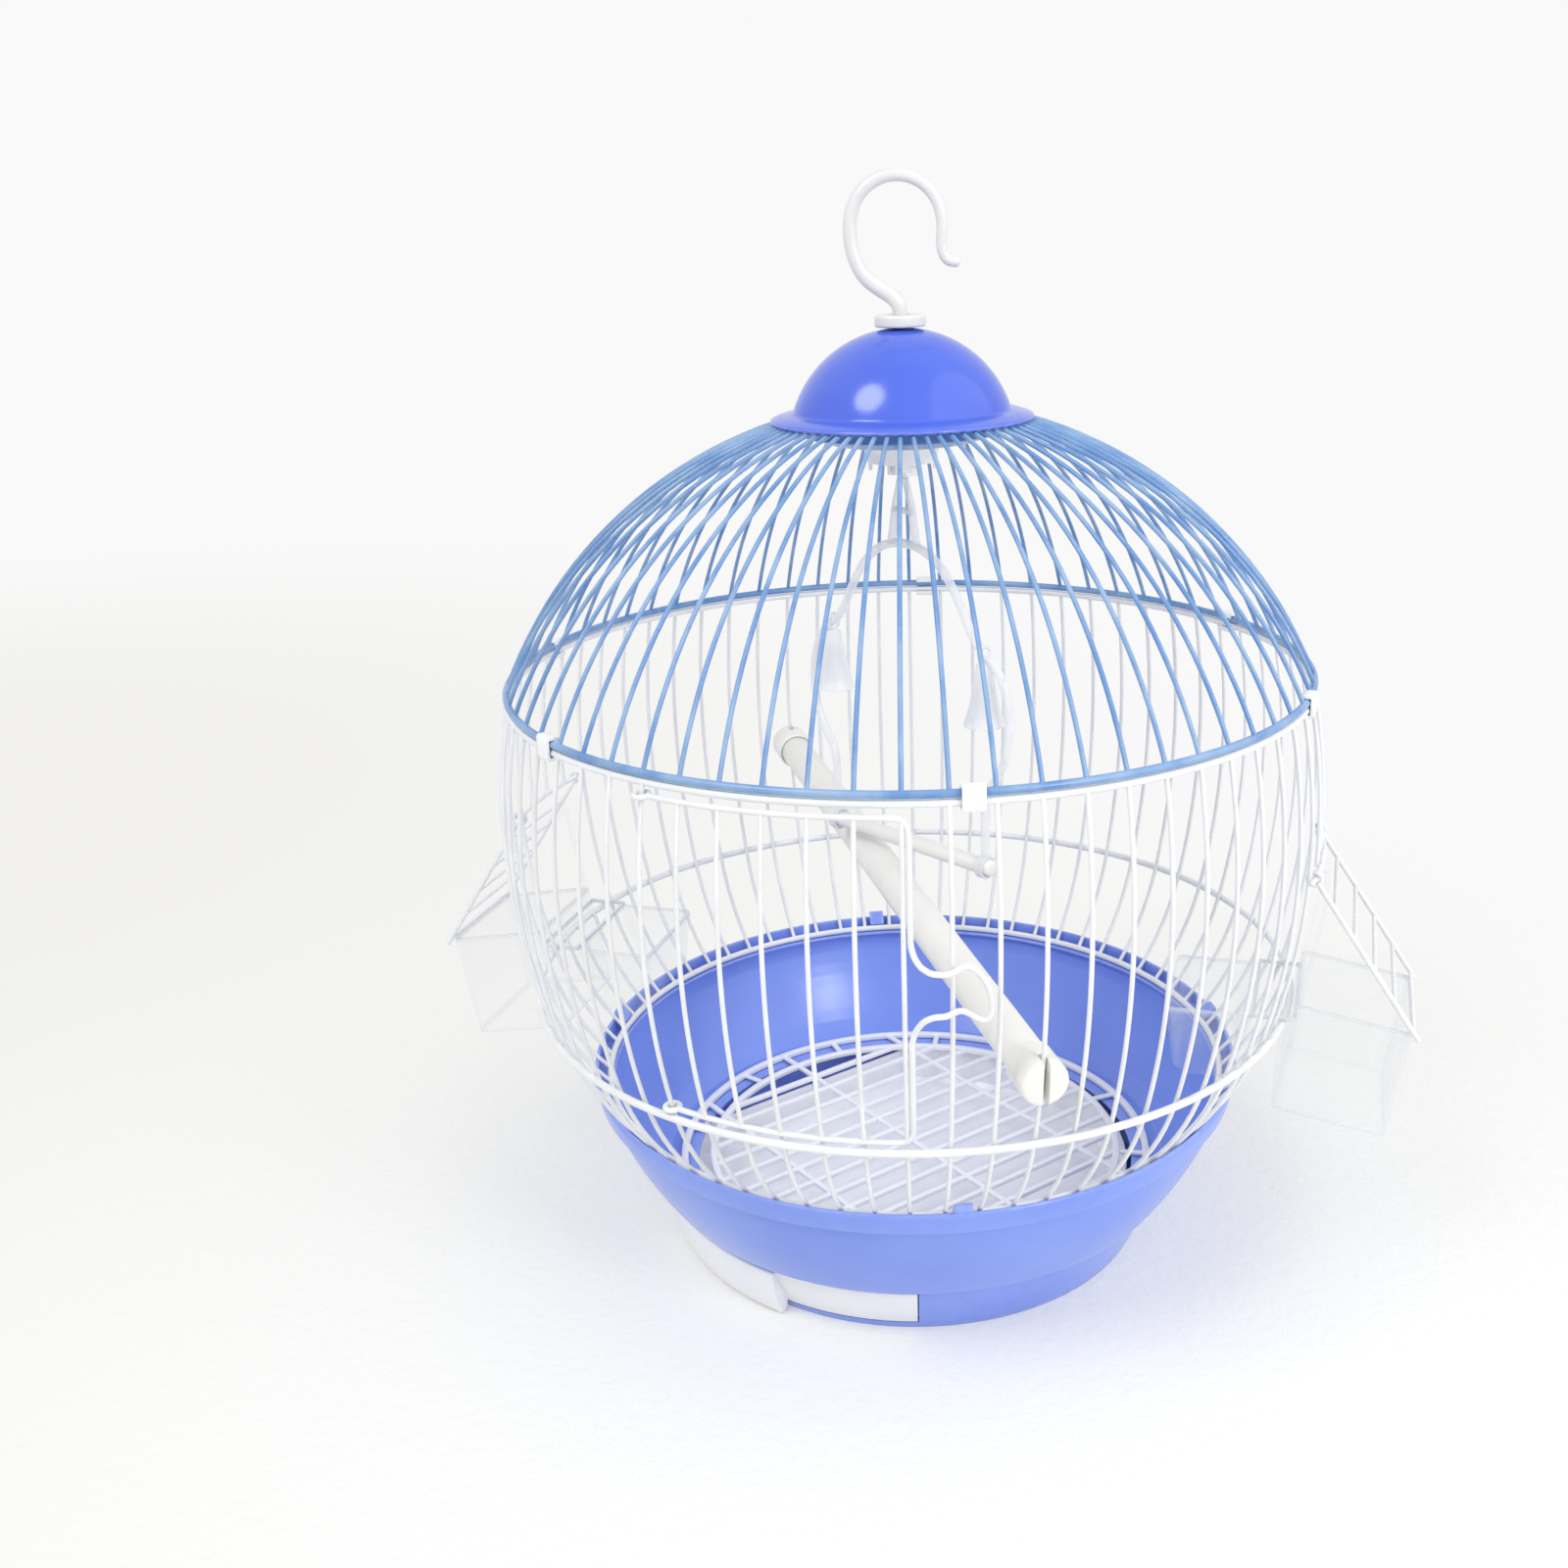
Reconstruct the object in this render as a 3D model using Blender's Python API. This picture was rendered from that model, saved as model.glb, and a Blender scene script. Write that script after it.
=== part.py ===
"""A round wire bird cage on a blue plastic base, with a hinged door, two
feeder cups behind hinged wire flaps, a perch, a swing and a litter drawer.

The cage stands on z = 0 with its axis on Z. An azimuth is measured from -Y,
the side that faces the viewer, and grows towards +X. All sizes are metres.
"""

import math

import bmesh
import bpy
from mathutils import Matrix, Vector

# wires and the barrel shape of the cage
RING_RADIUS = 0.165            # blue and white rings where the two halves meet
RING_HEIGHT = 0.253            # blue ring above the floor
RING_WIRE = 0.0030             # diameter of the blue ring
HOOP_WIRE = 0.0028             # diameter of the white hoops
BAR_WIRE = 0.0018              # diameter of the upright bars
DOOR_WIRE = 0.0022             # diameter of the door's frame wire
BAR_COUNT = 66                 # bars around the cage
BAR_PHASE = -0.8               # azimuth of bar 0, in degrees
DOME_CURVE = 0.180             # radius of the dome's arc
BARREL_CURVE = 0.268           # radius of the barrel's arc, top ring to middle hoop
BARREL_WIDEST = 0.194          # height where the barrel is widest
MIDDLE_HEIGHT = 0.118          # hoop under the door
FOOT_HOOP_RADIUS = 0.1356      # hoop that sits in the base
FOOT_HOOP_HEIGHT = 0.0749
DOME_HOOP_RADIUS = 0.034       # hoop under the cap
DOME_LEAN = (0.165, 0.147, 0.120, 0.088, 0.054, 0.034)   # radii where a dome wire bends
BAR_BENDS = (0.096, 0.150, 0.206, 0.230)   # heights where an upright bar bends
GAP = 0.0003                   # clearance between pieces that touch
WELD = 0.0004                  # how far two welded wires run into each other
CLIP_BARS = (1.5, 12.5, 21.5, 32.5, 46.5, 56.5)   # ring clips, counted in bars
CLIP_WIDTH = 0.008
CLIP_WALL = 0.0012

# base
FOOT_RADIUS = 0.102
SKIRT_RADIUS = 0.113           # top of the skirt
SHOULDER_RADIUS = 0.1168
SHOULDER_HEIGHT = 0.0264
BOWL_RADIUS = 0.1388           # under the rim band
RIM_RADIUS = 0.1426
RIM_HEIGHT = 0.079
RIM_BAND = 0.0095              # height of the rim band
BASE_WALL = 0.002
FLOOR_TOP = 0.0037             # upper face of the base's floor
LEDGE_HEIGHT = 0.0252          # face that the grate lies on
LEDGE_BORE = 0.099
SHELF_BORE = 0.1335            # inner edge of the shelf that carries the foot hoop
SHELF_THICKNESS = 0.0016
TAB_BARS = (1.5, 18.5, 34.5, 47.5)   # snap tabs on the rim, counted in bars
TAB_WIDTH = 0.007

# litter drawer and floor grate
DRAWER_AZIMUTH = -52.0
SLOT_HALF_ANGLE = 52.5         # the drawer's slot in the skirt, to each side
DRAWER_HALF_WIDTH = 0.0798
BAND_SIDE_GAP = 0.3            # between the drawer's band and the slot's ends, in degrees
DRAWER_BACK_RADIUS = 0.097
DRAWER_WALL = 0.0016
DRAWER_RIM_GAP = 0.0003
GRIP_HALF_ANGLE = 21.0
GRIP_REACH = 0.0066            # how far the grip stands proud at its foot
GRATE_RADIUS = 0.107
GRATE_THICKNESS = 0.0026
GRATE_RING = 0.0032
GRATE_BAR = 0.0026
GRATE_STEP = 0.013
GRATE_SLOT = 0.010             # width of the slots between the two rings
GRATE_CROSS = (-0.056, -0.001, 0.054)
GRATE_SPOKES = 12

# door
DOOR_BARS = 6                  # bars cut out for the door
DOOR_TOP = 0.2454
DOOR_BOTTOM = 0.1215
DOOR_CORNER = 0.006
HINGE_EYE = 0.0027             # radius of a hinge eye's centre line
JAMB_OFFSET = 0.0023           # door's right frame wire, beside its last upright
LATCH_STANDOFF = 0.0027        # latch loop's centre line over the latch bar's
LATCH_HEIGHT = 0.182           # middle of the latch loop
LATCH_HALF = 0.0095            # half of the latch's height
# the latch wire: bar steps right of the jamb, half heights over its middle, share of the standoff
LATCH_PATH = ((0.0, 2.6, 0.0), (0.0, 2.1, 0.0), (0.06, 1.7, 0.2), (0.19, 1.34, 0.6), (0.4, 1.13, 1.0),
              (0.66, 1.07, 1.0), (0.84, 1.12, 1.0), (0.98, 1.3, 1.0), (1.14, 1.4, 1.0), (1.37, 1.13, 1.0),
              (1.55, 0.62, 1.0), (1.64, 0.0, 1.0), (1.64, -0.55, 1.0), (1.53, -0.85, 1.0),
              (1.32, -0.68, 1.0), (1.13, -0.42, 1.0), (0.98, -0.34, 1.0), (0.86, -0.44, 1.0),
              (0.7, -0.58, 1.0), (0.46, -0.58, 1.0), (0.25, -0.79, 0.65), (0.09, -1.2, 0.3),
              (0.0, -1.74, 0.0), (0.0, -2.4, 0.0))

# feeders
FEEDER_BARS = (14, -19)        # bar at the middle of each feeder opening
FEEDER_TOP = 0.183             # header wire over a feeder opening
FLAP_HALF_WIDTH = 0.0295
FLAP_RUNGS = 5
FLAP_EYE = 0.0026
FLAP_OVERHANG = 0.004          # how far the flap's side wires run past its last rung
FLAP_CLEARANCE = 0.0006        # between the flap and the cup's back plate
CUP_HALF_WIDTH = 0.028
CUP_TILT = 10.0
CUP_DEPTH = 0.046
CUP_HEIGHT = 0.0485
CUP_WALL = 0.0016
CUP_RISE = 0.0095              # upper back corner of the outer bin, over the middle hoop
WINDOW_FRAME = 0.005           # width of the back plate around its window
SCOOP_BACK = 0.150             # the inner scoop's back, from the axis
SCOOP_REACH = 0.036
SCOOP_FLOOR = 0.091

# cap, collars and hook
CAP_RADIUS = 0.0435            # foot of the cap's dome
CAP_RISE = 0.0315              # top of the dome over its foot
CAP_FLANGE = 0.0525
CAP_WALL = 0.0018
CAP_CROWN = 0.0026             # thickness around the hook
BOSS_RADIUS = 0.0115           # tube inside the cap that goes down through the plate
BOSS_WALL = 0.0022
PLATE_RADIUS = 0.042
PLATE_DEPTH = 0.0084           # underside of the plate below its rim
RETAINER_RADIUS = 0.020
RETAINER_SKIRT = 0.0145        # radius of the retainer's ring, under its flange
RETAINER_DEPTH = 0.008
PLUG_HEIGHT = 0.007
PLUG_WALL = 0.0015
COLLAR_RADIUS = 0.0102
COLLAR_THICKNESS = 0.0046
HOOK_SHANK = 0.0028
HOOK_HEAD = 0.005              # head that keeps the hook in the cap
HOOK_RADIUS = 0.0179           # centre line of the hook's loop
HOOK_OFFSET = -0.0011          # loop's centre, from the axis
HOOK_NECK = 0.0016             # where the hook starts to bend, over its collar
HOOK_WIRE = 0.0062             # thickness at the root
HOOK_TIP = 0.0040
# the hook's lower left limb and its tip, in loop radii from the loop's centre
HOOK_LIMB = ((0.061, -1.81), (0.015, -1.64), (-0.14, -1.49), (-0.36, -1.36), (-0.6, -1.19),
             (-0.78, -0.98), (-0.915, -0.68), (-0.985, -0.36))
HOOK_CURL = ((0.985, -0.3), (0.978, -0.51), (1.03, -0.7), (1.145, -0.815), (1.29, -0.83))

# perch
PERCH_DIAMETER = 0.0155
PERCH_NEAR_BAR = 3
PERCH_FAR_BAR = -29
PERCH_NEAR_HEIGHT = 0.146
PERCH_FAR_HEIGHT = 0.170
PERCH_CAP_DIAMETER = 0.0180
PERCH_CAP_LENGTH = 0.016
PERCH_CAP_OVERHANG = 0.0045    # how far a cap reaches past its bar

# swing
SWING_AZIMUTH = 45.0           # direction of the right end of its bar
SWING_DROP = 0.0102            # pin below the cap's plate
SWING_LEG = 0.031              # top of the arch below the pin
SWING_HALF_WIDTH = 0.0445
SWING_ROD = 0.0036
SWING_BAR_DIAMETER = 0.0070
SWING_PAD = 0.0015             # wall around the bar at each end
SWING_EYE = 0.0039             # outer radius of the tube that turns on the pin
SWING_EYE_HALF = 0.0028
SWING_CLEARANCE = 0.0052       # between the perch and the swing's bar
# half of the arch: half widths from the middle, and shares of the height over the bar
SWING_ARCH = ((0.27, 0.985), (0.506, 0.931), (0.697, 0.839), (0.82, 0.759), (0.921, 0.712),
              (1.056, 0.686), (1.191, 0.636), (1.281, 0.563), (1.303, 0.479), (1.258, 0.379),
              (1.157, 0.307), (1.034, 0.261), (1.0, 0.195), (1.0, 0.008))
LUG_THICKNESS = 0.002
LUG_HALF_WIDTH = 0.0036
PIN_RADIUS = 0.0015
BELL_RADIUS = 0.0085
BELL_HEIGHT = 0.026
BELL_WALL = 0.0012
BELL_SPREAD = 0.989            # where the bells hang, in half widths of the swing
BELL_LEVEL = 0.6973            # and as a share of the arch's height
BELL_EYE = 0.0034

STEP = 360.0 / BAR_COUNT


def clear_scene():
    for thing in list(bpy.data.objects):
        bpy.data.objects.remove(thing, do_unlink=True)


def finish(name, colour, roughness, metallic=0.0, alpha=1.0):
    made = bpy.data.materials.new(name)
    made.use_nodes = True
    shader = made.node_tree.nodes["Principled BSDF"]
    shader.inputs["Base Color"].default_value = (*colour, 1.0)
    shader.inputs["Roughness"].default_value = roughness
    shader.inputs["Metallic"].default_value = metallic
    shader.inputs["Alpha"].default_value = alpha
    made.diffuse_color = (*colour, alpha)
    return made


def at(azimuth, radius, height):
    """The point at an azimuth in degrees, a radius and a height."""
    a = math.radians(azimuth)
    return Vector((radius * math.sin(a), -radius * math.cos(a), height))


def outward(azimuth):
    return at(azimuth, 1.0, 0.0)


def sideways(azimuth):
    a = math.radians(azimuth)
    return Vector((math.cos(a), math.sin(a), 0.0))


def bar_azimuth(number):
    return BAR_PHASE + number * STEP


def barrel_radius(height):
    """Centre line of the bars below the rings: two arcs that meet at the middle hoop."""
    widest = RING_RADIUS + BARREL_CURVE - math.sqrt(
        BARREL_CURVE ** 2 - (RING_HEIGHT - BARREL_WIDEST) ** 2)
    if height >= MIDDLE_HEIGHT:
        drop = height - BARREL_WIDEST
        return widest - BARREL_CURVE + math.sqrt(BARREL_CURVE ** 2 - drop ** 2)
    drop = MIDDLE_HEIGHT - BARREL_WIDEST
    knee = widest - BARREL_CURVE + math.sqrt(BARREL_CURVE ** 2 - drop ** 2)
    lean = math.asin(-drop / BARREL_CURVE)
    across, down = knee - FOOT_HOOP_RADIUS, MIDDLE_HEIGHT - FOOT_HOOP_HEIGHT
    curve = (across ** 2 + down ** 2) / (2 * (across * math.cos(lean) - down * math.sin(lean)))
    centre_radius = knee - curve * math.cos(lean)
    centre_height = MIDDLE_HEIGHT + curve * math.sin(lean)
    return centre_radius + math.sqrt(curve ** 2 - (height - centre_height) ** 2)


def dome_height(radius):
    """Centre line of the dome wires, an arc that ends on the blue ring."""
    centre = RING_HEIGHT - math.sqrt(DOME_CURVE ** 2 - RING_RADIUS ** 2)
    return centre + math.sqrt(DOME_CURVE ** 2 - radius ** 2)


def dome_wire_height(radius):
    """Centre line of the dome wires between their bends."""
    for far, near in zip(DOME_LEAN, DOME_LEAN[1:]):
        if radius >= near:
            share = (radius - near) / (far - near)
            return dome_height(near) + share * (dome_height(far) - dome_height(near))
    return dome_height(DOME_LEAN[-1])


def wire_clearance():
    """Upright distance from a dome wire's centre line to a piece that lies on it."""
    far, near = DOME_LEAN[-2], DOME_LEAN[-1]
    slope = (dome_height(near) - dome_height(far)) / (far - near)
    return (BAR_WIRE / 2 + GAP) * math.hypot(1.0, slope)


# heights that follow from the wires
CAP_FOOT = dome_wire_height(CAP_RADIUS) + wire_clearance() + CAP_WALL
CAP_HEIGHT = CAP_FOOT + CAP_RISE
PLATE_FLOOR = dome_wire_height(PLATE_RADIUS) - wire_clearance() - PLATE_DEPTH
HOOK_CENTRE = CAP_HEIGHT + GAP + COLLAR_THICKNESS + HOOK_NECK - HOOK_LIMB[0][1] * HOOK_RADIUS
SWING_PIVOT = PLATE_FLOOR - SWING_DROP
SWING_APEX = SWING_PIVOT - SWING_LEG
SWING_BAR_HEIGHT = ((PERCH_NEAR_HEIGHT + PERCH_FAR_HEIGHT) / 2 + PERCH_DIAMETER / 2
                    + SWING_CLEARANCE + SWING_BAR_DIAMETER / 2)
BELL_PIVOT = SWING_BAR_HEIGHT + BELL_LEVEL * (SWING_APEX - SWING_BAR_HEIGHT)
BELL_OFFSET = BELL_SPREAD * SWING_HALF_WIDTH


def hoop_radius():
    """Corner radius of the middle hoop, whose wire lies against the bars."""
    radius = barrel_radius(MIDDLE_HEIGHT) + BAR_WIRE / 2 + RING_WIRE / 2 + GAP
    return radius / math.cos(math.pi / BAR_COUNT)


def wire_mesh(paths, diameter, resolution=0, closed=False, radii=None):
    """Tubes along paths, each closed by caps, from one curve with a round bevel."""
    curve = bpy.data.curves.new("wire", "CURVE")
    curve.dimensions = "3D"
    curve.bevel_depth = diameter / 2
    curve.bevel_resolution = resolution
    curve.use_fill_caps = not closed
    for path in paths:
        spline = curve.splines.new("POLY")
        spline.points.add(len(path) - 1)
        spline.use_cyclic_u = closed
        for i, point in enumerate(path):
            spline.points[i].co = (*point, 1.0)
            spline.points[i].radius = radii[i] if radii else 1.0
    holder = bpy.data.objects.new("wire", curve)
    bpy.context.scene.collection.objects.link(holder)
    bpy.context.view_layer.update()
    graph = bpy.context.evaluated_depsgraph_get()
    mesh = bpy.data.meshes.new_from_object(holder.evaluated_get(graph))
    bpy.data.objects.remove(holder, do_unlink=True)
    bm = bmesh.new()
    bm.from_mesh(mesh)
    bmesh.ops.remove_doubles(bm, verts=bm.verts, dist=1e-6)
    bmesh.ops.recalc_face_normals(bm, faces=bm.faces)
    bm.to_mesh(mesh)
    bm.free()
    return mesh


def hoop_path(radius, height, count=BAR_COUNT, first=0.5):
    """A polygon whose corners lie between the bars."""
    return [at(BAR_PHASE + (i + first) * 360.0 / count, radius, height) for i in range(count)]


def mesh_from(bm, name="solid"):
    bmesh.ops.recalc_face_normals(bm, faces=bm.faces)
    mesh = bpy.data.meshes.new(name)
    bm.to_mesh(mesh)
    bm.free()
    return mesh


def turned(profile, segments, sweep=360.0, start=0.0):
    """A solid of revolution about Z from a closed outline of (radius, height) points."""
    bm = bmesh.new()
    corners = [bm.verts.new(at(start, r, z)) for r, z in profile]
    face = bm.faces.new(corners)
    bmesh.ops.spin(bm, geom=[face], cent=(0, 0, 0), axis=(0, 0, 1),
                   angle=math.radians(sweep), steps=segments, use_duplicate=False)
    if sweep >= 360.0:
        bmesh.ops.remove_doubles(bm, verts=bm.verts, dist=1e-6)
        seam = [f for f in bm.faces if len(f.verts) == len(profile)
                and all(abs((v.co - v.co.project(outward(start)) - Vector((0, 0, v.co.z)))
                            .dot(sideways(start))) < 1e-7 for v in f.verts)]
        if seam:
            bmesh.ops.delete(bm, geom=seam, context="FACES_ONLY")
    bmesh.ops.remove_doubles(bm, verts=bm.verts, dist=1e-6)
    return mesh_from(bm)


def prism(outline, low, high):
    """An upright solid from a flat outline of (x, y) points."""
    bm = bmesh.new()
    face = bm.faces.new([bm.verts.new((x, y, low)) for x, y in outline])
    grown = bmesh.ops.extrude_face_region(bm, geom=[face])
    tops = [g for g in grown["geom"] if isinstance(g, bmesh.types.BMVert)]
    bmesh.ops.translate(bm, verts=tops, vec=(0, 0, high - low))
    return mesh_from(bm)


def slab(outline, azimuth, half_width, middle=0.0):
    """A solid whose outline of (radius, height) points is drawn in the plane of an azimuth."""
    out, side = outward(azimuth), sideways(azimuth)
    bm = bmesh.new()
    start = [bm.verts.new(out * r + side * (middle - half_width) + Vector((0, 0, z)))
             for r, z in outline]
    face = bm.faces.new(start)
    grown = bmesh.ops.extrude_face_region(bm, geom=[face])
    ends = [g for g in grown["geom"] if isinstance(g, bmesh.types.BMVert)]
    bmesh.ops.translate(bm, verts=ends, vec=side * 2 * half_width)
    return mesh_from(bm)


def combined(first, others, operation="UNION"):
    """One mesh from a boolean of the first mesh with each of the others."""
    body = bpy.data.objects.new("body", first)
    bpy.context.scene.collection.objects.link(body)
    tools = []
    for other in others:
        tool = bpy.data.objects.new("tool", other)
        bpy.context.scene.collection.objects.link(tool)
        change = body.modifiers.new("change", "BOOLEAN")
        change.operation = operation
        change.object = tool
        tools.append(tool)
    bpy.context.view_layer.update()
    graph = bpy.context.evaluated_depsgraph_get()
    result = bpy.data.meshes.new_from_object(body.evaluated_get(graph))
    for thing in [body, *tools]:
        bpy.data.objects.remove(thing, do_unlink=True)
    return result


def place(name, mesh, material, origin=(0, 0, 0), parent=None, smooth=35.0):
    """Puts a mesh in the scene under its own name, with its origin on its joint's axis."""
    origin = Vector(origin)
    mesh.transform(Matrix.Translation(-origin))
    mesh.name = name
    mesh.materials.clear()
    mesh.materials.append(material)
    mesh.shade_smooth()
    mesh.set_sharp_from_angle(angle=math.radians(smooth))
    thing = bpy.data.objects.new(name, mesh)
    bpy.context.scene.collection.objects.link(thing)
    if parent:
        thing.parent = parent
        thing.location = origin - parent.location
    else:
        thing.location = origin
    return thing


def arc(centre, radius, first, last, count):
    """Points on an arc in a plane, angles in degrees."""
    turns = [math.radians(first + (last - first) * i / (count - 1)) for i in range(count)]
    return [(centre[0] + radius * math.cos(t), centre[1] + radius * math.sin(t)) for t in turns]


def skirt_radius(height):
    """Outer face of the skirt."""
    share = height / LEDGE_HEIGHT
    return FOOT_RADIUS + (SKIRT_RADIUS - FOOT_RADIUS) * share


def make_base(material):
    """The blue base: foot ring, skirt, shoulder, bowl and rim, turned as one shell."""
    wall = BASE_WALL
    band_foot = RIM_HEIGHT - RIM_BAND
    under_ledge = LEDGE_HEIGHT - wall
    shelf = FOOT_HOOP_HEIGHT - HOOP_WIRE / 2 - GAP
    bulge = 0.0022
    outer_bowl = []
    for i in range(4):
        t = i / 3
        r = SHOULDER_RADIUS + (BOWL_RADIUS - SHOULDER_RADIUS) * t + bulge * 4 * t * (1 - t)
        outer_bowl.append((r, SHOULDER_HEIGHT + (band_foot - SHOULDER_HEIGHT) * t))
    inner_bowl = [(r - wall, z) for r, z in reversed(outer_bowl)]
    inner_bowl[0] = (BOWL_RADIUS - wall, shelf - SHELF_THICKNESS)
    rim_in = SHELF_BORE + 0.0071
    profile = [
        (0.0, 0.0015), (FOOT_RADIUS - 0.0042, 0.0015), (FOOT_RADIUS - 0.0042, 0.0),
        (FOOT_RADIUS, 0.0), (skirt_radius(under_ledge + 0.001), under_ledge + 0.001),
        *outer_bowl, (RIM_RADIUS - 0.0014, band_foot + 0.0004),
        (RIM_RADIUS, RIM_HEIGHT - 0.0014), (RIM_RADIUS - 0.0006, RIM_HEIGHT),
        (rim_in, RIM_HEIGHT), (rim_in, shelf),
        (SHELF_BORE, shelf), (SHELF_BORE, shelf - SHELF_THICKNESS), *inner_bowl[:-1],
        (SHOULDER_RADIUS - 2 * wall, LEDGE_HEIGHT), (LEDGE_BORE, LEDGE_HEIGHT),
        (LEDGE_BORE, under_ledge), (skirt_radius(under_ledge) - wall, under_ledge),
        (skirt_radius(FLOOR_TOP) - wall, FLOOR_TOP), (0.0, FLOOR_TOP),
    ]
    shell = turned(profile, 40)
    tabs = []
    for number in TAB_BARS:
        reach = rim_in - (FOOT_HOOP_RADIUS + 0.0003)
        outline = [(rim_in + 0.001, RIM_HEIGHT - 0.0012), (rim_in + 0.001, RIM_HEIGHT + 0.003),
                   (rim_in - 0.0012, RIM_HEIGHT + 0.003),
                   (rim_in - reach, FOOT_HOOP_HEIGHT + HOOP_WIRE / 2 + 0.0009),
                   (rim_in - reach, FOOT_HOOP_HEIGHT + HOOP_WIRE / 2 + GAP),
                   (rim_in - reach * 0.4, FOOT_HOOP_HEIGHT + HOOP_WIRE / 2 + GAP)]
        tabs.append(slab(outline, bar_azimuth(number), TAB_WIDTH / 2))
    shell = combined(shell, tabs)
    slot = turned([(0.06, FLOOR_TOP), (0.13, FLOOR_TOP), (0.13, under_ledge), (0.06, under_ledge)],
                  16, 2 * SLOT_HALF_ANGLE, DRAWER_AZIMUTH - SLOT_HALF_ANGLE)
    return place("base_bowl", combined(shell, [slot], "DIFFERENCE"), material)


def drawer_block(inset, low, high, front):
    """The tray's space: a round back, straight sides and the skirt's own cone in front."""
    half = DRAWER_HALF_WIDTH - inset
    back = DRAWER_BACK_RADIUS - inset
    start = math.degrees(math.asin(half / back))
    outline = [(back * math.sin(math.radians(a)), back * math.cos(math.radians(a)))
               for a in [start - 2 * start * i / 14 for i in range(15)]]
    outline += [(-half, -0.13), (half, -0.13)]
    body = prism(outline, low, high)
    body.transform(Matrix.Rotation(math.radians(DRAWER_AZIMUTH), 4, "Z"))
    cone = turned([(0.0, low - 0.001), (skirt_radius(low - 0.001) - front, low - 0.001),
                   (skirt_radius(high + 0.001) - front, high + 0.001), (0.0, high + 0.001)], 48)
    return combined(body, [cone], "INTERSECT")


def make_drawer(material):
    """The litter drawer: a tray, a band that closes the skirt, and a flared grip."""
    low = FLOOR_TOP + GAP
    high = LEDGE_HEIGHT - BASE_WALL - DRAWER_RIM_GAP
    wall = DRAWER_WALL
    body = drawer_block(0.0, low, high, 0.0012)
    hollow = drawer_block(wall, low + wall, high + 0.002, wall + 0.0014)
    tray = combined(body, [hollow], "DIFFERENCE")
    reach = SLOT_HALF_ANGLE - BAND_SIDE_GAP
    band = turned([(skirt_radius(low) - wall, low), (skirt_radius(low), low),
                   (skirt_radius(high), high), (skirt_radius(high) - wall, high)],
                  15, 2 * reach, DRAWER_AZIMUTH - reach)
    foot = 0.001
    front = FOOT_RADIUS + 0.0022
    grip = [(front, foot), (front + GRIP_REACH * 0.8, foot),
            (skirt_radius(0.008) + GRIP_REACH, 0.008),
            (skirt_radius(0.016) + GRIP_REACH * 0.7, 0.016),
            (skirt_radius(high) + 0.002, high), (skirt_radius(high) - 0.001, high),
            (skirt_radius(0.006) - 0.001, 0.006), (front, 0.0052)]
    handle = turned(grip, 7, 2 * GRIP_HALF_ANGLE, DRAWER_AZIMUTH - GRIP_HALF_ANGLE)
    return place("drawer_tray", combined(tray, [band, handle]), material)


def make_grate(material):
    """The floor grate: two rings, a row of close bars and three cross bars."""
    low = LEDGE_HEIGHT + GAP
    high = low + GRATE_THICKNESS
    inner = GRATE_RADIUS - GRATE_RING - GRATE_SLOT

    def ring(radius):
        return turned([(radius, low), (radius, high), (radius - GRATE_RING, high),
                       (radius - GRATE_RING, low)], 32)

    def bar(offset, azimuth, reach, sink):
        half = math.sqrt(reach ** 2 - offset ** 2)
        return slab([(-half, low + sink), (half, low + sink), (half, high - sink),
                     (-half, high - sink)], azimuth, GRATE_BAR / 2, offset)

    count = int((inner - 0.004) / GRATE_STEP)
    rows = [bar(i * GRATE_STEP, DRAWER_AZIMUTH, inner - GRATE_RING / 2 - 0.0002, 0.0002)
            for i in range(-count, count + 1)]
    crosses = [bar(offset, DRAWER_AZIMUTH + 90, GRATE_RADIUS - GRATE_RING / 2, 0.0004)
               for offset in GRATE_CROSS]
    spokes = []
    for i in range(GRATE_SPOKES):
        azimuth = DRAWER_AZIMUTH + (i + 0.5) * 360 / GRATE_SPOKES
        outline = [(inner - GRATE_RING / 2, low + 0.0006), (GRATE_RADIUS - GRATE_RING / 2, low + 0.0006),
                   (GRATE_RADIUS - GRATE_RING / 2, high - 0.0006), (inner - GRATE_RING / 2, high - 0.0006)]
        spokes.append(slab(outline, azimuth, GRATE_BAR / 2))
    solid = combined(ring(GRATE_RADIUS), [ring(inner), *spokes])
    return place("floor_grate", combined(solid, [*rows, *crosses]), material)


def joined(meshes):
    """Several meshes in one, still separate bodies."""
    bm = bmesh.new()
    for mesh in meshes:
        bm.from_mesh(mesh)
    return mesh_from(bm)


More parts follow.
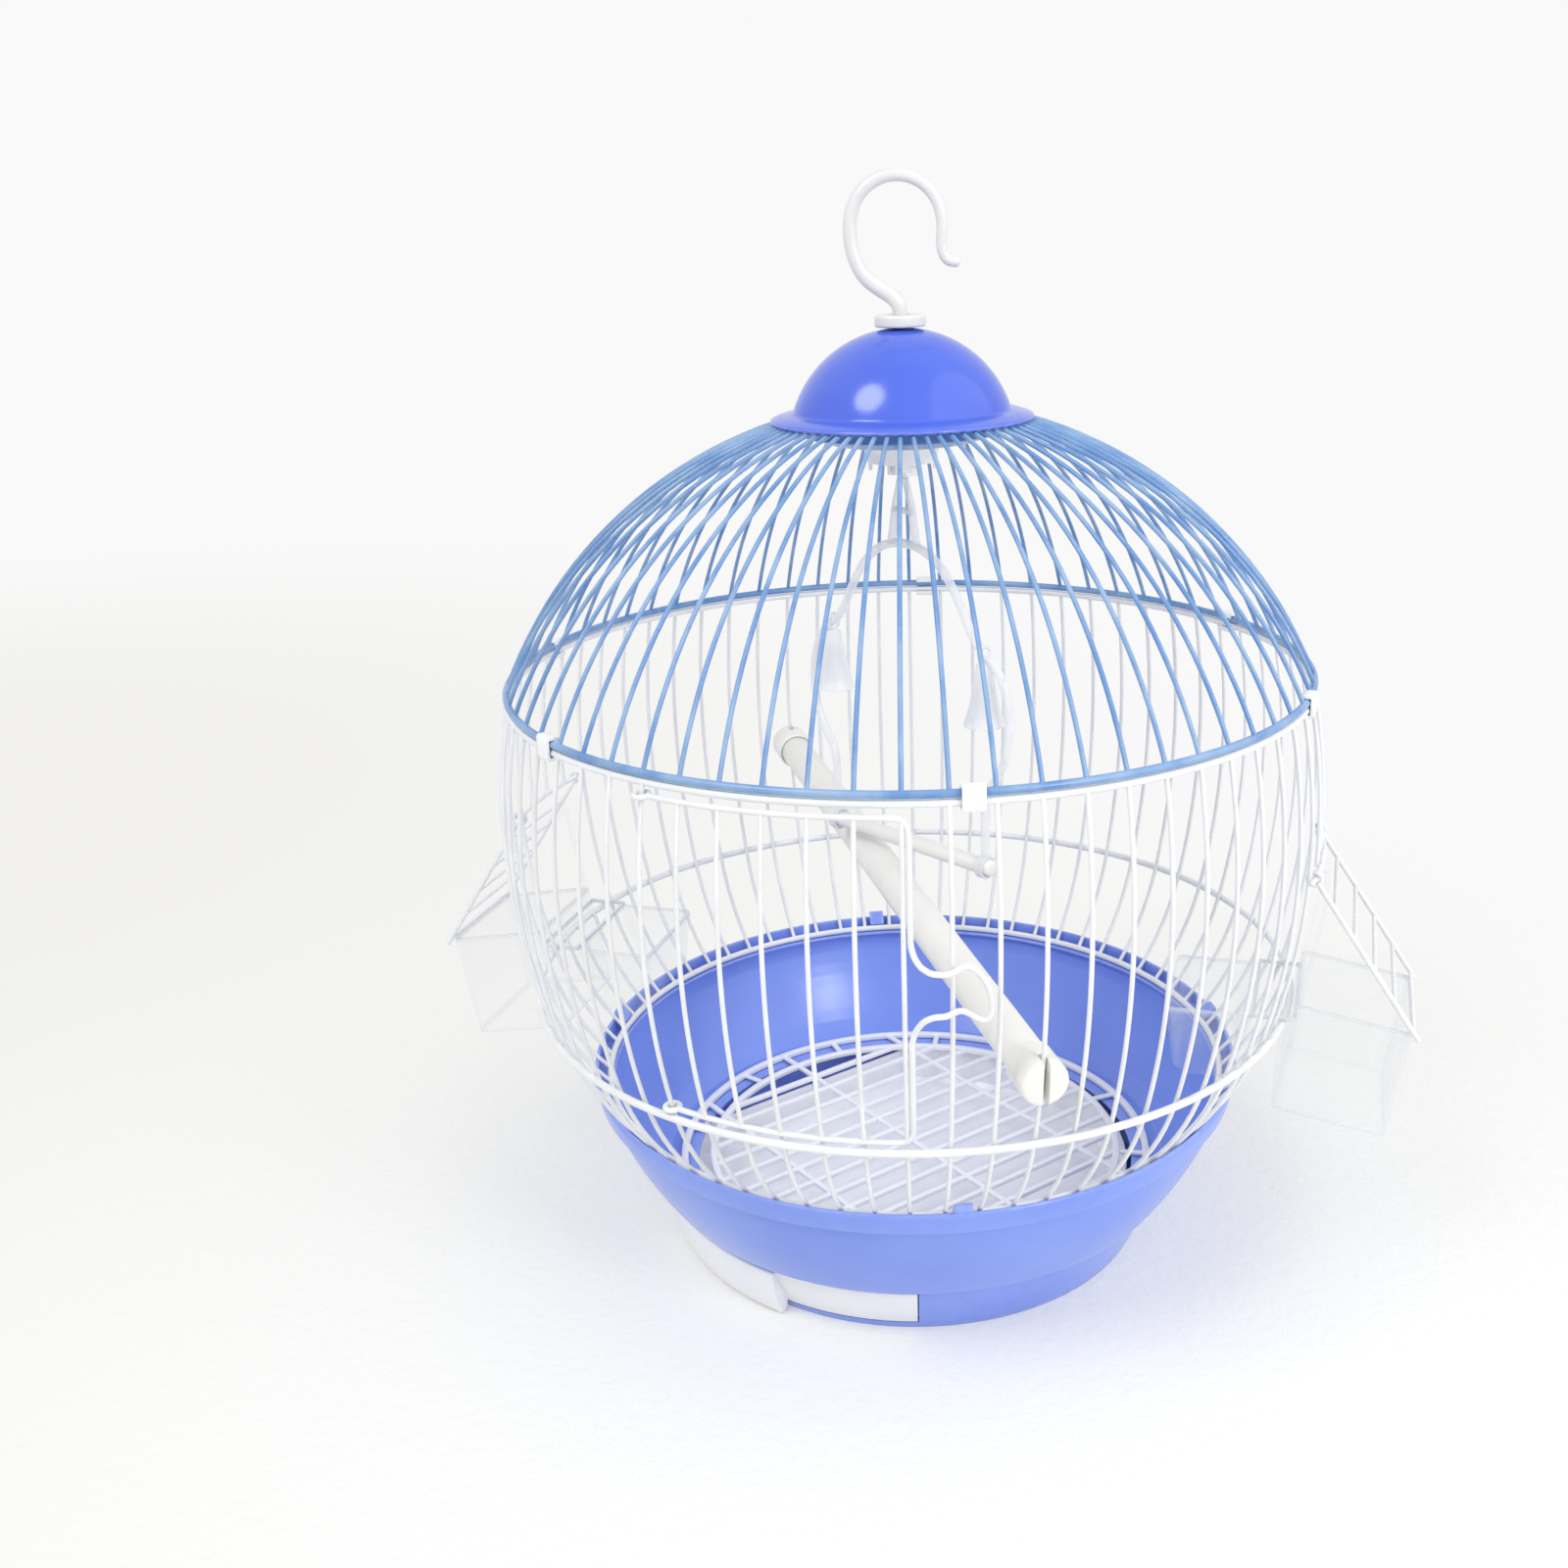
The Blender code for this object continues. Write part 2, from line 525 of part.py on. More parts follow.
def make_lower_frame(material):
    """The white half of the cage: bars welded to a hoop at each end, with two headers."""
    top = RING_HEIGHT - RING_WIRE / 2 - GAP - HOOP_WIRE / 2
    cut_low = MIDDLE_HEIGHT + 0.0011
    door = {number for number in range(-DOOR_BARS + 1, 1)}
    feeders = {number + side for number in FEEDER_BARS for side in (-1, 0, 1)}
    levels = sorted([FOOT_HOOP_HEIGHT, MIDDLE_HEIGHT, FEEDER_TOP, top, *BAR_BENDS])
    paths = []
    for number in range(BAR_COUNT):
        signed = number if number <= BAR_COUNT // 2 else number - BAR_COUNT
        azimuth = bar_azimuth(signed)
        if signed in door or signed in feeders:
            heights = [h for h in levels if h < MIDDLE_HEIGHT] + [cut_low]
            paths.append([at(azimuth, barrel_radius(h), h) for h in heights])
            if signed in feeders:
                heights = [h for h in levels if h >= FEEDER_TOP]
                paths.append([at(azimuth, barrel_radius(h), h) for h in heights])
        else:
            paths.append([at(azimuth, barrel_radius(h), h) for h in levels])
    bars = wire_mesh(paths, BAR_WIRE)
    hoops = joined([wire_mesh([hoop_path(RING_RADIUS, top)], HOOP_WIRE, 1, True),
                    wire_mesh([hoop_path(FOOT_HOOP_RADIUS, FOOT_HOOP_HEIGHT)], HOOP_WIRE, 0, True)])
    headers = []
    standoff = BAR_WIRE / 2 + DOOR_WIRE / 2 - WELD
    for middle in FEEDER_BARS:
        span = 2 * STEP + 0.7
        path = [at(bar_azimuth(middle) - span + 2 * span * i / 8,
                   barrel_radius(FEEDER_TOP) + standoff, FEEDER_TOP) for i in range(9)]
        headers.append(path)
    frame = combined(bars, [hoops, wire_mesh(headers, DOOR_WIRE, 1)])
    return place("lower_wire_frame", frame, material)


def make_middle_hoop(material):
    """The hoop outside the bars, under the door and the feeders."""
    mesh = wire_mesh([hoop_path(hoop_radius(), MIDDLE_HEIGHT)], RING_WIRE, 0, True)
    return place("middle_hoop", mesh, material)


def make_dome_frame(material):
    """The blue half of the cage: dome wires welded to the ring and to a hoop under the cap."""
    lean = DOME_LEAN
    paths = []
    for number in range(BAR_COUNT):
        paths.append([at(bar_azimuth(number), r, dome_height(r)) for r in lean])
    wires = wire_mesh(paths, BAR_WIRE)
    hoops = joined([wire_mesh([hoop_path(RING_RADIUS, RING_HEIGHT)], RING_WIRE, 1, True),
                    wire_mesh([hoop_path(DOME_HOOP_RADIUS, dome_height(DOME_HOOP_RADIUS), 33, 0.25)],
                              HOOP_WIRE, 0, True)])
    return place("dome_wire_frame", combined(wires, [hoops]), material)


def make_clip(name, number, material):
    """A spring clip that holds the blue ring and the white ring together."""
    low = RING_HEIGHT - RING_WIRE / 2 - GAP - HOOP_WIRE / 2
    hole = RING_WIRE / 2 + GAP
    inside, outside = RING_RADIUS - hole - 0.0002, RING_RADIUS + hole
    foot, head = low - hole, RING_HEIGHT + hole
    wall, lip = CLIP_WALL, 0.0007
    outline = [(inside + 0.0006, foot - wall), (outside + wall - 0.0006, foot - wall),
               (outside + wall, foot), (outside + wall, head), (outside + wall - 0.0006, head + wall),
               (inside + 0.0006, head + wall), (inside - lip, head + 0.0003),
               (inside - lip, head - 0.0011), (inside, head - 0.0011), (inside, head),
               (outside, head), (outside, foot), (inside, foot), (inside, foot + 0.0011),
               (inside - lip, foot + 0.0011), (inside - lip, foot - 0.0003)]
    return place(name, slab(outline, bar_azimuth(number), CLIP_WIDTH / 2), material)


def make_cap(material):
    """The blue cap: a dome, a flange that lies on the wires, and a tube down the middle."""
    wall, lift = CAP_WALL, wire_clearance()
    edge = dome_wire_height(CAP_FLANGE) + lift
    skirt = dome_wire_height(CAP_RADIUS - wall) + lift
    curve = (CAP_RADIUS ** 2 + CAP_RISE ** 2) / (2 * CAP_RISE)
    centre = CAP_HEIGHT - curve
    first, last = math.asin(1 - CAP_RISE / curve), math.acos(COLLAR_RADIUS / 2 / curve)
    turns = [first + (last - first) * i / 5 for i in range(6)]
    dome = [(curve * math.cos(t), centre + curve * math.sin(t)) for t in turns]
    inner = [((curve - wall) * math.cos(t), centre + (curve - wall) * math.sin(t))
             for t in turns if (curve - wall) * math.cos(t) > BOSS_RADIUS + wall]
    joint = centre + math.sqrt((curve - wall) ** 2 - BOSS_RADIUS ** 2)
    bore = HOOK_SHANK + GAP
    hollow = BOSS_RADIUS - BOSS_WALL
    foot, crown = PLATE_FLOOR + 0.0014, CAP_HEIGHT - CAP_CROWN
    profile = [(CAP_FLANGE, edge), (CAP_FLANGE + 0.0003, edge + 0.0009), (CAP_FLANGE - 0.0006, edge + wall),
               (CAP_RADIUS + 0.0025, dome_wire_height(CAP_RADIUS + 0.0025) + lift + wall), *dome,
               (bore, CAP_HEIGHT), (bore, crown), (hollow, crown),
               (hollow, foot), (BOSS_RADIUS, foot), (BOSS_RADIUS, joint), *reversed(inner),
               (CAP_RADIUS - wall, skirt)]
    return place("dome_cap", turned(profile, 24), material)


def make_cap_plate(material):
    """The blue plate that the cap clamps the wires against from below."""
    lift = wire_clearance()
    wall = CAP_WALL
    rim = dome_wire_height(PLATE_RADIUS) - lift
    step = dome_wire_height(PLATE_RADIUS - wall) - lift
    bore = BOSS_RADIUS + GAP
    profile = [(bore, PLATE_FLOOR), (0.030, PLATE_FLOOR), (PLATE_RADIUS - 0.001, PLATE_FLOOR + 0.0035),
               (PLATE_RADIUS, rim), (PLATE_RADIUS - wall, step), (PLATE_RADIUS - wall, PLATE_FLOOR + 0.005),
               (0.029, PLATE_FLOOR + wall), (bore, PLATE_FLOOR + wall)]
    return place("cap_plate", turned(profile, 24), material)


def swing_frame_point(across, along, height):
    """A point from its place across the swing's plane, along its bar, and its height."""
    return outward(SWING_AZIMUTH) * along + sideways(SWING_AZIMUTH) * across + Vector((0, 0, height))


def cross_cylinder(radius, low, high, segments=12, height=SWING_PIVOT):
    """A cylinder that lies along the swing's bar."""
    bm = bmesh.new()
    rings = []
    for along in (low, high):
        rings.append([bm.verts.new(swing_frame_point(radius * math.cos(2 * math.pi * i / segments), along,
                                                     height + radius * math.sin(2 * math.pi * i / segments)))
                      for i in range(segments)])
    for i in range(segments):
        j = (i + 1) % segments
        bm.faces.new((rings[0][i], rings[0][j], rings[1][j], rings[1][i]))
    bm.faces.new(rings[0])
    bm.faces.new(rings[1])
    return mesh_from(bm)


def make_retainer(material):
    """The white retainer: a plug in the cap's tube, a collar with snap tabs, and two lugs."""
    top = PLATE_FLOOR - GAP
    plug = BOSS_RADIUS - BOSS_WALL - GAP
    neck, ring = RETAINER_SKIRT * 0.84, RETAINER_SKIRT * 0.965
    web, low = top - RETAINER_DEPTH / 4, top - RETAINER_DEPTH
    body = turned([(0.0, web), (neck, web), (neck, low), (ring, low), (RETAINER_SKIRT, web),
                   (RETAINER_RADIUS, top - RETAINER_DEPTH * 0.175), (RETAINER_RADIUS, top),
                   (plug, top), (plug, top + PLUG_HEIGHT), (plug - PLUG_WALL, top + PLUG_HEIGHT),
                   (plug - PLUG_WALL, top), (0.0, top)], 16)
    tip, root = top - RETAINER_DEPTH * 1.375, top - RETAINER_DEPTH * 0.875
    tabs = [slab([(neck, tip), (ring - 0.0004, tip), (ring, root), (neck, root)],
                 SWING_AZIMUTH + 45 + i * 90, RETAINER_SKIRT * 0.2) for i in range(4)]
    lugs = []
    for side in (-1, 1):
        middle = side * (SWING_EYE_HALF + 0.0005 + LUG_THICKNESS / 2)
        low, high = middle - LUG_THICKNESS / 2, middle + LUG_THICKNESS / 2
        foot = SWING_PIVOT - SWING_EYE + 0.0001
        lug = slab([(low, foot), (high, foot), (high, top - 0.001), (low, top - 0.001)],
                   SWING_AZIMUTH, LUG_HALF_WIDTH)
        lugs.append(lug)
    solid = combined(body, [*tabs, *lugs])
    holes = cross_cylinder(PIN_RADIUS + GAP, -RETAINER_SKIRT, RETAINER_SKIRT)
    return place("cap_retainer", combined(solid, [holes], "DIFFERENCE"), material)


def make_pin(material):
    """The pin that the swing turns on, with a head at each end."""
    face = SWING_EYE_HALF + 0.0005 + LUG_THICKNESS + GAP
    shaft = cross_cylinder(PIN_RADIUS, -face - 0.0005, face + 0.0005)
    heads = [cross_cylinder(0.0023, *sorted((side * face, side * (face + 0.0011)))) for side in (-1, 1)]
    return place("swing_pin", combined(shaft, heads), material)


def make_hook_collar(material):
    low = CAP_HEIGHT + GAP
    bore = HOOK_SHANK + GAP
    profile = [(bore, low), (COLLAR_RADIUS, low), (COLLAR_RADIUS, low + COLLAR_THICKNESS - 0.001),
               (COLLAR_RADIUS - 0.001, low + COLLAR_THICKNESS), (bore, low + COLLAR_THICKNESS)]
    return place("hook_collar", turned(profile, 16), material)


def make_hook(material):
    """The hanging hook: a shank with a head inside the cap, and an open loop with a curled tip."""
    head = CAP_HEIGHT - CAP_CROWN - GAP

    def around(points):
        return [(HOOK_OFFSET + x * HOOK_RADIUS, HOOK_CENTRE + z * HOOK_RADIUS) for x, z in points]

    line = [(0.0, head - 0.001), *around(HOOK_LIMB), *around(arc((0.0, 0.0), 1.0, 180, 0, 11)),
            *around(HOOK_CURL)]
    sizes = []
    for i in range(len(line)):
        grown = max(0, i - 2) / (len(line) - 3)
        size = HOOK_WIRE + (HOOK_TIP - HOOK_WIRE) * grown
        sizes.append(2 * HOOK_SHANK / HOOK_WIRE if i < 2 else size / HOOK_WIRE)
    rod = wire_mesh([[Vector((x, 0.0, z)) for x, z in line]], HOOK_WIRE, 2, False, sizes)
    button = turned([(0.0, head - 0.0038), (HOOK_HEAD - 0.0008, head - 0.0038),
                     (HOOK_HEAD, head - 0.003), (HOOK_HEAD, head), (0.0, head)], 16)
    return place("hanging_hook", combined(rod, [button]), material)


def on_barrel(azimuth, height, standoff=0.0):
    return at(azimuth, barrel_radius(height) + standoff, height)


def eye_path(centre, radius, axis, start, count=10):
    """A ring of points about an axis, not closed on itself, that starts in a given direction."""
    axis = axis.normalized()
    first = (start - axis * start.dot(axis)).normalized()
    other = axis.cross(first)
    return [centre + first * radius * math.cos(2 * math.pi * i / count)
            + other * radius * math.sin(2 * math.pi * i / count) for i in range(count)]


def door_axis():
    """Foot and head of the door's hinge line, on the bar left of the opening."""
    azimuth = bar_azimuth(-DOOR_BARS)
    return on_barrel(azimuth, DOOR_BOTTOM), on_barrel(azimuth, DOOR_TOP)


def make_door(material):
    """The wire door: a frame wire with a latch loop, six uprights and two hinge eyes."""
    foot, head = door_axis()
    axis = head - foot
    jamb = math.degrees(JAMB_OFFSET / barrel_radius(LATCH_HEIGHT))
    hinge, right = bar_azimuth(-DOOR_BARS), bar_azimuth(0) + jamb
    eye = math.degrees(HINGE_EYE / barrel_radius(DOOR_TOP))
    span = [hinge + eye + (right - 2.2 - hinge - eye) * i / 6 for i in range(7)]
    path = [on_barrel(a, DOOR_TOP) for a in span]
    path += [on_barrel(right - 0.7, DOOR_TOP - 0.0014), on_barrel(right, DOOR_TOP - DOOR_CORNER)]
    path.append(on_barrel(right, (DOOR_TOP + LATCH_HEIGHT) / 2 + LATCH_HALF))
    path += [on_barrel(right + across * STEP, LATCH_HEIGHT + up * LATCH_HALF, over * LATCH_STANDOFF)
             for across, up, over in LATCH_PATH]
    path.append(on_barrel(right, (DOOR_BOTTOM + LATCH_HEIGHT) / 2 - LATCH_HALF))
    path += [on_barrel(right, DOOR_BOTTOM + DOOR_CORNER), on_barrel(right - 0.7, DOOR_BOTTOM + 0.0014)]
    path += [on_barrel(a, DOOR_BOTTOM) for a in reversed(span)]
    frame = wire_mesh([path], DOOR_WIRE, 1)
    uprights = []
    bends = [DOOR_BOTTOM, *(h for h in BAR_BENDS if DOOR_BOTTOM < h < DOOR_TOP), DOOR_TOP]
    for number in range(-DOOR_BARS + 1, 1):
        azimuth = bar_azimuth(number)
        uprights.append([on_barrel(azimuth, h) for h in bends])
    away = -sideways(hinge)
    rings = [wire_mesh([eye_path(point, HINGE_EYE, axis, away)], DOOR_WIRE, 1, True)
             for point in (foot, head)]
    door = combined(frame, [wire_mesh(uprights, BAR_WIRE), *rings])
    return place("wire_door", door, material, foot)


def feeder_reach():
    """Distance of the header wire's centre line, and of the flap's hinge line, from the axis."""
    header = barrel_radius(FEEDER_TOP) + BAR_WIRE / 2 + DOOR_WIRE / 2 - WELD
    return header, math.sqrt(header ** 2 - FLAP_HALF_WIDTH ** 2)


def cup_corner():
    """Radius and height of the bin's upper back corner, its back wall just off the hoop."""
    tilt = math.radians(CUP_TILT)
    radius = hoop_radius() + (RING_WIRE / 2 + GAP) / math.cos(tilt) + CUP_RISE * math.tan(tilt)
    return radius, MIDDLE_HEIGHT + CUP_RISE


def flap_shape():
    """The resting flap's slope and length, with its last rung just over the bin's outer wall,
    and how far the cup's back plate can rise over the bin's rim below it."""
    tilt = math.radians(CUP_TILT)
    corner, corner_height = cup_corner()
    out, up = feeder_reach()[1] - corner, FEEDER_TOP - corner_height
    along = out * math.cos(tilt) - up * math.sin(tilt)
    height = out * math.sin(tilt) + up * math.cos(tilt)
    run, fall = CUP_DEPTH - CUP_WALL / 2 - along, height - BAR_WIRE / 2 - GAP
    lean = math.atan2(fall, run)
    plate = (height - (CUP_WALL - along) * math.tan(lean)
             - (BAR_WIRE / 2 + FLAP_CLEARANCE) / math.cos(lean))
    return tilt + lean, math.hypot(run, fall), plate


def make_flap(name, middle, material):
    """A wire flap over a feeder opening: two side wires with eyes, and rungs between them."""
    azimuth = bar_azimuth(middle)
    out, side = outward(azimuth), sideways(azimuth)
    reach = feeder_reach()[1]
    pivot = out * reach + Vector((0, 0, FEEDER_TOP))
    slope, length, _ = flap_shape()
    down = out * math.cos(slope) - Vector((0, 0, math.sin(slope)))
    rails = [[pivot + side * s * FLAP_HALF_WIDTH + down * t
              for t in (FLAP_EYE - 0.0002, length + FLAP_OVERHANG)] for s in (-1, 1)]
    step = length / FLAP_RUNGS
    rungs = [[pivot + side * s * (FLAP_HALF_WIDTH - 0.0003) + down * step * i for s in (-1, 1)]
             for i in range(1, FLAP_RUNGS + 1)]
    eyes = [wire_mesh([eye_path(pivot + side * s * FLAP_HALF_WIDTH, FLAP_EYE, side, down)],
                      BAR_WIRE, 0, True) for s in (-1, 1)]
    flap = combined(wire_mesh(rails, DOOR_WIRE), [wire_mesh(rungs, BAR_WIRE), *eyes])
    return place(name, flap, material, pivot)


def make_cup(name, middle, material):
    """A clear feeder: a bin outside, a scoop inside, a bridge over the hoop and a back plate."""
    azimuth = bar_azimuth(middle)
    tilt = math.radians(CUP_TILT)
    half, wall = CUP_HALF_WIDTH, CUP_WALL
    corner, corner_height = cup_corner()

    def bin_point(out, down):
        return (corner + out * math.cos(tilt) - down * math.sin(tilt),
                corner_height - out * math.sin(tilt) - down * math.cos(tilt))

    outer = slab([bin_point(0, 0), bin_point(CUP_DEPTH, 0), bin_point(CUP_DEPTH, CUP_HEIGHT),
                  bin_point(0, CUP_HEIGHT)], azimuth, half)
    hollow = slab([bin_point(wall, -0.004), bin_point(CUP_DEPTH - wall, -0.004),
                   bin_point(CUP_DEPTH - wall, CUP_HEIGHT - wall), bin_point(wall, CUP_HEIGHT - wall)],
                  azimuth, half - wall)
    low = MIDDLE_HEIGHT + RING_WIRE / 2 + GAP
    high = low + wall
    bridge = slab([(SCOOP_BACK - 0.001, low), (corner - 0.0002, low),
                   (corner - 0.0002, high), (SCOOP_BACK - 0.001, high)],
                  azimuth, half - 0.0005)
    rise = flap_shape()[2]
    plate = slab([bin_point(0.0001, 0.003), bin_point(wall - 0.0002, 0.003),
                  bin_point(wall - 0.0002, -rise), bin_point(0.0001, -rise)], azimuth, half - 0.0002)
    window = slab([bin_point(-0.006, -0.001), bin_point(0.006, -0.001),
                   bin_point(0.006, WINDOW_FRAME - rise), bin_point(-0.006, WINDOW_FRAME - rise)],
                  azimuth, half - WINDOW_FRAME)
    lip = SCOOP_BACK - SCOOP_REACH
    scoop = slab([(lip, low - 0.0003), (lip + 0.004, SCOOP_FLOOR + 0.003), (lip + 0.009, SCOOP_FLOOR),
                  (SCOOP_BACK - 0.009, SCOOP_FLOOR), (SCOOP_BACK + 0.0005, high - 0.0004)],
                 azimuth, half - 0.0008)
    scoop_hollow = slab([(lip + wall - 0.0007, high + 0.003), (lip + 0.004 + wall, SCOOP_FLOOR + 0.0038),
                         (lip + 0.0095, SCOOP_FLOOR + wall), (SCOOP_BACK - 0.0104, SCOOP_FLOOR + wall),
                         (SCOOP_BACK - 0.0011, high + 0.003)], azimuth, half - wall - 0.0008)
    solid = combined(outer, [plate, scoop, bridge])
    return place(name, combined(solid, [hollow, scoop_hollow, window], "DIFFERENCE"), material)


def perch_ends():
    near = on_barrel(bar_azimuth(PERCH_NEAR_BAR), PERCH_NEAR_HEIGHT)
    far = on_barrel(bar_azimuth(PERCH_FAR_BAR), PERCH_FAR_HEIGHT)
    return near, far


def laid(mesh, start, towards):
    """Turns a mesh built along +Z so that it starts at a point and runs towards another."""
    along = (towards - start).normalized()
    side = along.cross(Vector((0, 0, 1))).normalized()
    up = along.cross(side)
    turn = Matrix((side, up, along)).transposed().to_4x4()
    mesh.transform(Matrix.Translation(start) @ turn)
    return mesh


def make_perch(material):
    near, far = perch_ends()
    start = PERCH_CAP_LENGTH - PERCH_CAP_OVERHANG - 0.0047
    length = (far - near).length - 2 * start
    radius = PERCH_DIAMETER / 2
    tube = turned([(radius - 0.0015, 0.0), (radius, 0.0), (radius, length), (radius - 0.0015, length)], 20)
    along = (far - near).normalized()
    return place("perch_tube", laid(tube, near + along * start, far), material)


def make_perch_cap(name, bar, towards, material):
    """An end cap of the perch, slotted to grip a bar."""
    radius, over = PERCH_CAP_DIAMETER / 2, PERCH_CAP_OVERHANG
    bore = PERCH_DIAMETER / 2 + GAP
    deep = PERCH_CAP_LENGTH - over
    cap = turned([(0.0, -over), (radius - 0.001, -over), (radius, -over + 0.001), (radius, deep),
                  (bore, deep), (bore, deep - 0.005), (0.0, deep - 0.005)], 16)
    gap = BAR_WIRE / 2 + GAP
    slot = prism([(-gap, -0.02), (gap, -0.02), (gap, 0.02), (-gap, 0.02)], -over - 0.001, 0.0033)
    return place(name, laid(combined(cap, [slot], "DIFFERENCE"), bar, towards), material)


def make_swing_frame(material):
    """The swing's white frame: a tube on the pin, two short legs, and an arch with open loops."""
    def line(points):
        return [swing_frame_point(0.0, u, z) for u, z in points]

    tube = cross_cylinder(SWING_EYE, -SWING_EYE_HALF, SWING_EYE_HALF)
    legs = [line([(s * SWING_ROD / 3, SWING_PIVOT - SWING_EYE * 0.72),
                  (s * SWING_ROD * 1.25, SWING_PIVOT - SWING_LEG * 0.52),
                  (s * SWING_ROD * 2, SWING_APEX - SWING_ROD / 3)]) for s in (-1, 1)]
    span = SWING_APEX - SWING_BAR_HEIGHT
    half = [(u * SWING_HALF_WIDTH, SWING_BAR_HEIGHT + z * span) for u, z in SWING_ARCH]
    arch = line([(-u, z) for u, z in reversed(half)] + [(0.0, SWING_APEX)] + half)
    rods = wire_mesh([arch], SWING_ROD, 1)
    level = SWING_PIVOT - SWING_LEG * 0.58
    brace = wire_mesh([line([(-SWING_ROD * 1.45, level), (SWING_ROD * 1.45, level)])], SWING_ROD * 0.8, 1)
    solid = combined(rods, [*(wire_mesh([leg], SWING_ROD, 1) for leg in legs), brace, tube])
    hole = cross_cylinder(PIN_RADIUS + GAP, -2 * SWING_EYE_HALF, 2 * SWING_EYE_HALF)
    reach = SWING_ROD * 0.55
    pads = [cross_cylinder(SWING_BAR_DIAMETER / 2 + SWING_PAD, *sorted((s * (SWING_HALF_WIDTH - reach),
            s * (SWING_HALF_WIDTH + reach))), 12, SWING_BAR_HEIGHT) for s in (-1, 1)]
    solid = combined(solid, pads)
    far = SWING_HALF_WIDTH + 2 * reach
    bore = cross_cylinder(SWING_BAR_DIAMETER / 2 + GAP, -far, far, 12, SWING_BAR_HEIGHT)
    frame = combined(solid, [hole, bore], "DIFFERENCE")
    return place("swing_frame", frame, material, (0, 0, SWING_PIVOT))


def make_swing_bar(material, parent):
    bar = cross_cylinder(SWING_BAR_DIAMETER / 2, -SWING_HALF_WIDTH - 0.004, SWING_HALF_WIDTH + 0.004,
                         12, SWING_BAR_HEIGHT)
    return place("swing_perch_bar", bar, material, (0, 0, SWING_BAR_HEIGHT), parent)


def make_bell(name, side, material, parent):
    """A small bell that hangs by an eye from the swing's loop."""
    along = side * BELL_OFFSET
    pivot = swing_frame_point(0.0, along, BELL_PIVOT)
    top = BELL_PIVOT - BELL_EYE - 0.0002
    foot = top - BELL_HEIGHT
    outside = [(0.353, 0.015), (0.494, 0.27), (0.682, 0.654), (1.0, 1.0)]
    skin = [(r * BELL_RADIUS, top - z * BELL_HEIGHT) for r, z in outside]
    hollow = [(r - BELL_WALL, z - BELL_WALL / 6) for r, z in reversed(skin[1:3])]
    profile = [(0.0, top), *skin, (BELL_RADIUS - BELL_WALL, foot), *hollow,
               (0.0, top - 0.27 * BELL_HEIGHT)]
    bell = turned(profile, 10)
    bell.transform(Matrix.Translation(pivot - Vector((0, 0, pivot.z))))
    axis = outward(SWING_AZIMUTH)
    eye = wire_mesh([eye_path(pivot, BELL_EYE, axis, Vector((0, 0, 1)), 8)], 0.0012, 0, True)
    return place(name, combined(bell, [eye]), material, pivot, parent)


def main():
    clear_scene()
    blue = finish("blue_plastic", (0.10, 0.18, 0.78), 0.25)
    white = finish("white_plastic", (0.86, 0.86, 0.84), 0.35)
    white_wire = finish("white_coated_wire", (0.85, 0.85, 0.83), 0.4)
    blue_wire = finish("blue_coated_wire", (0.15, 0.33, 0.75), 0.35)
    frosted = finish("frosted_plastic", (0.90, 0.91, 0.94), 0.3)
    clear = finish("clear_plastic", (0.93, 0.95, 0.96), 0.08, 0.0, 0.35)
    make_base(blue)
    make_drawer(white)
    make_grate(white)
    make_lower_frame(white_wire)
    make_middle_hoop(white_wire)
    make_dome_frame(blue_wire)
    for i, number in enumerate(CLIP_BARS):
        make_clip(f"ring_clip_{i + 1}", number, white)
    make_cap(blue)
    make_cap_plate(blue)
    make_retainer(white)
    make_pin(white)
    make_hook_collar(white)
    make_hook(white)
    make_door(white_wire)
    for side, middle in zip(("right", "left"), FEEDER_BARS):
        make_flap(f"feeder_flap_{side}", middle, white_wire)
        make_cup(f"feeder_cup_{side}", middle, clear)
    near, far = perch_ends()
    make_perch(white)
    make_perch_cap("perch_end_cap_near", near, far, white)
    make_perch_cap("perch_end_cap_far", far, near, white)
    swing = make_swing_frame(frosted)
    make_swing_bar(white, swing)
    make_bell("swing_bell_right", 1, frosted, swing)
    make_bell("swing_bell_left", -1, frosted, swing)


main()
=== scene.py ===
import bpy
import numpy as np
from mathutils import Matrix, Vector


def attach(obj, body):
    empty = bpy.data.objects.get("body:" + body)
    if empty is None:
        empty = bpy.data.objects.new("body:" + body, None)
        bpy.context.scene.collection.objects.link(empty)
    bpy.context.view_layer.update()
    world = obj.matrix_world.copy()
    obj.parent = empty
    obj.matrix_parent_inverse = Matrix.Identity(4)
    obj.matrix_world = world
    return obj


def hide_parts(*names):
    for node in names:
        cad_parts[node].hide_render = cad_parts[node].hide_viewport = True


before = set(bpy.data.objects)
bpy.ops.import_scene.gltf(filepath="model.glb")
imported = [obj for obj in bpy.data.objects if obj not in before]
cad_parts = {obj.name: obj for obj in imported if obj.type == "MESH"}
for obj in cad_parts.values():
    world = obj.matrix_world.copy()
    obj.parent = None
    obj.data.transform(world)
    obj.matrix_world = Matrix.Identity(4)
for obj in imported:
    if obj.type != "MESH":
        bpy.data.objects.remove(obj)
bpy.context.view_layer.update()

print("frame loaded:", len(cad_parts), "nodes")

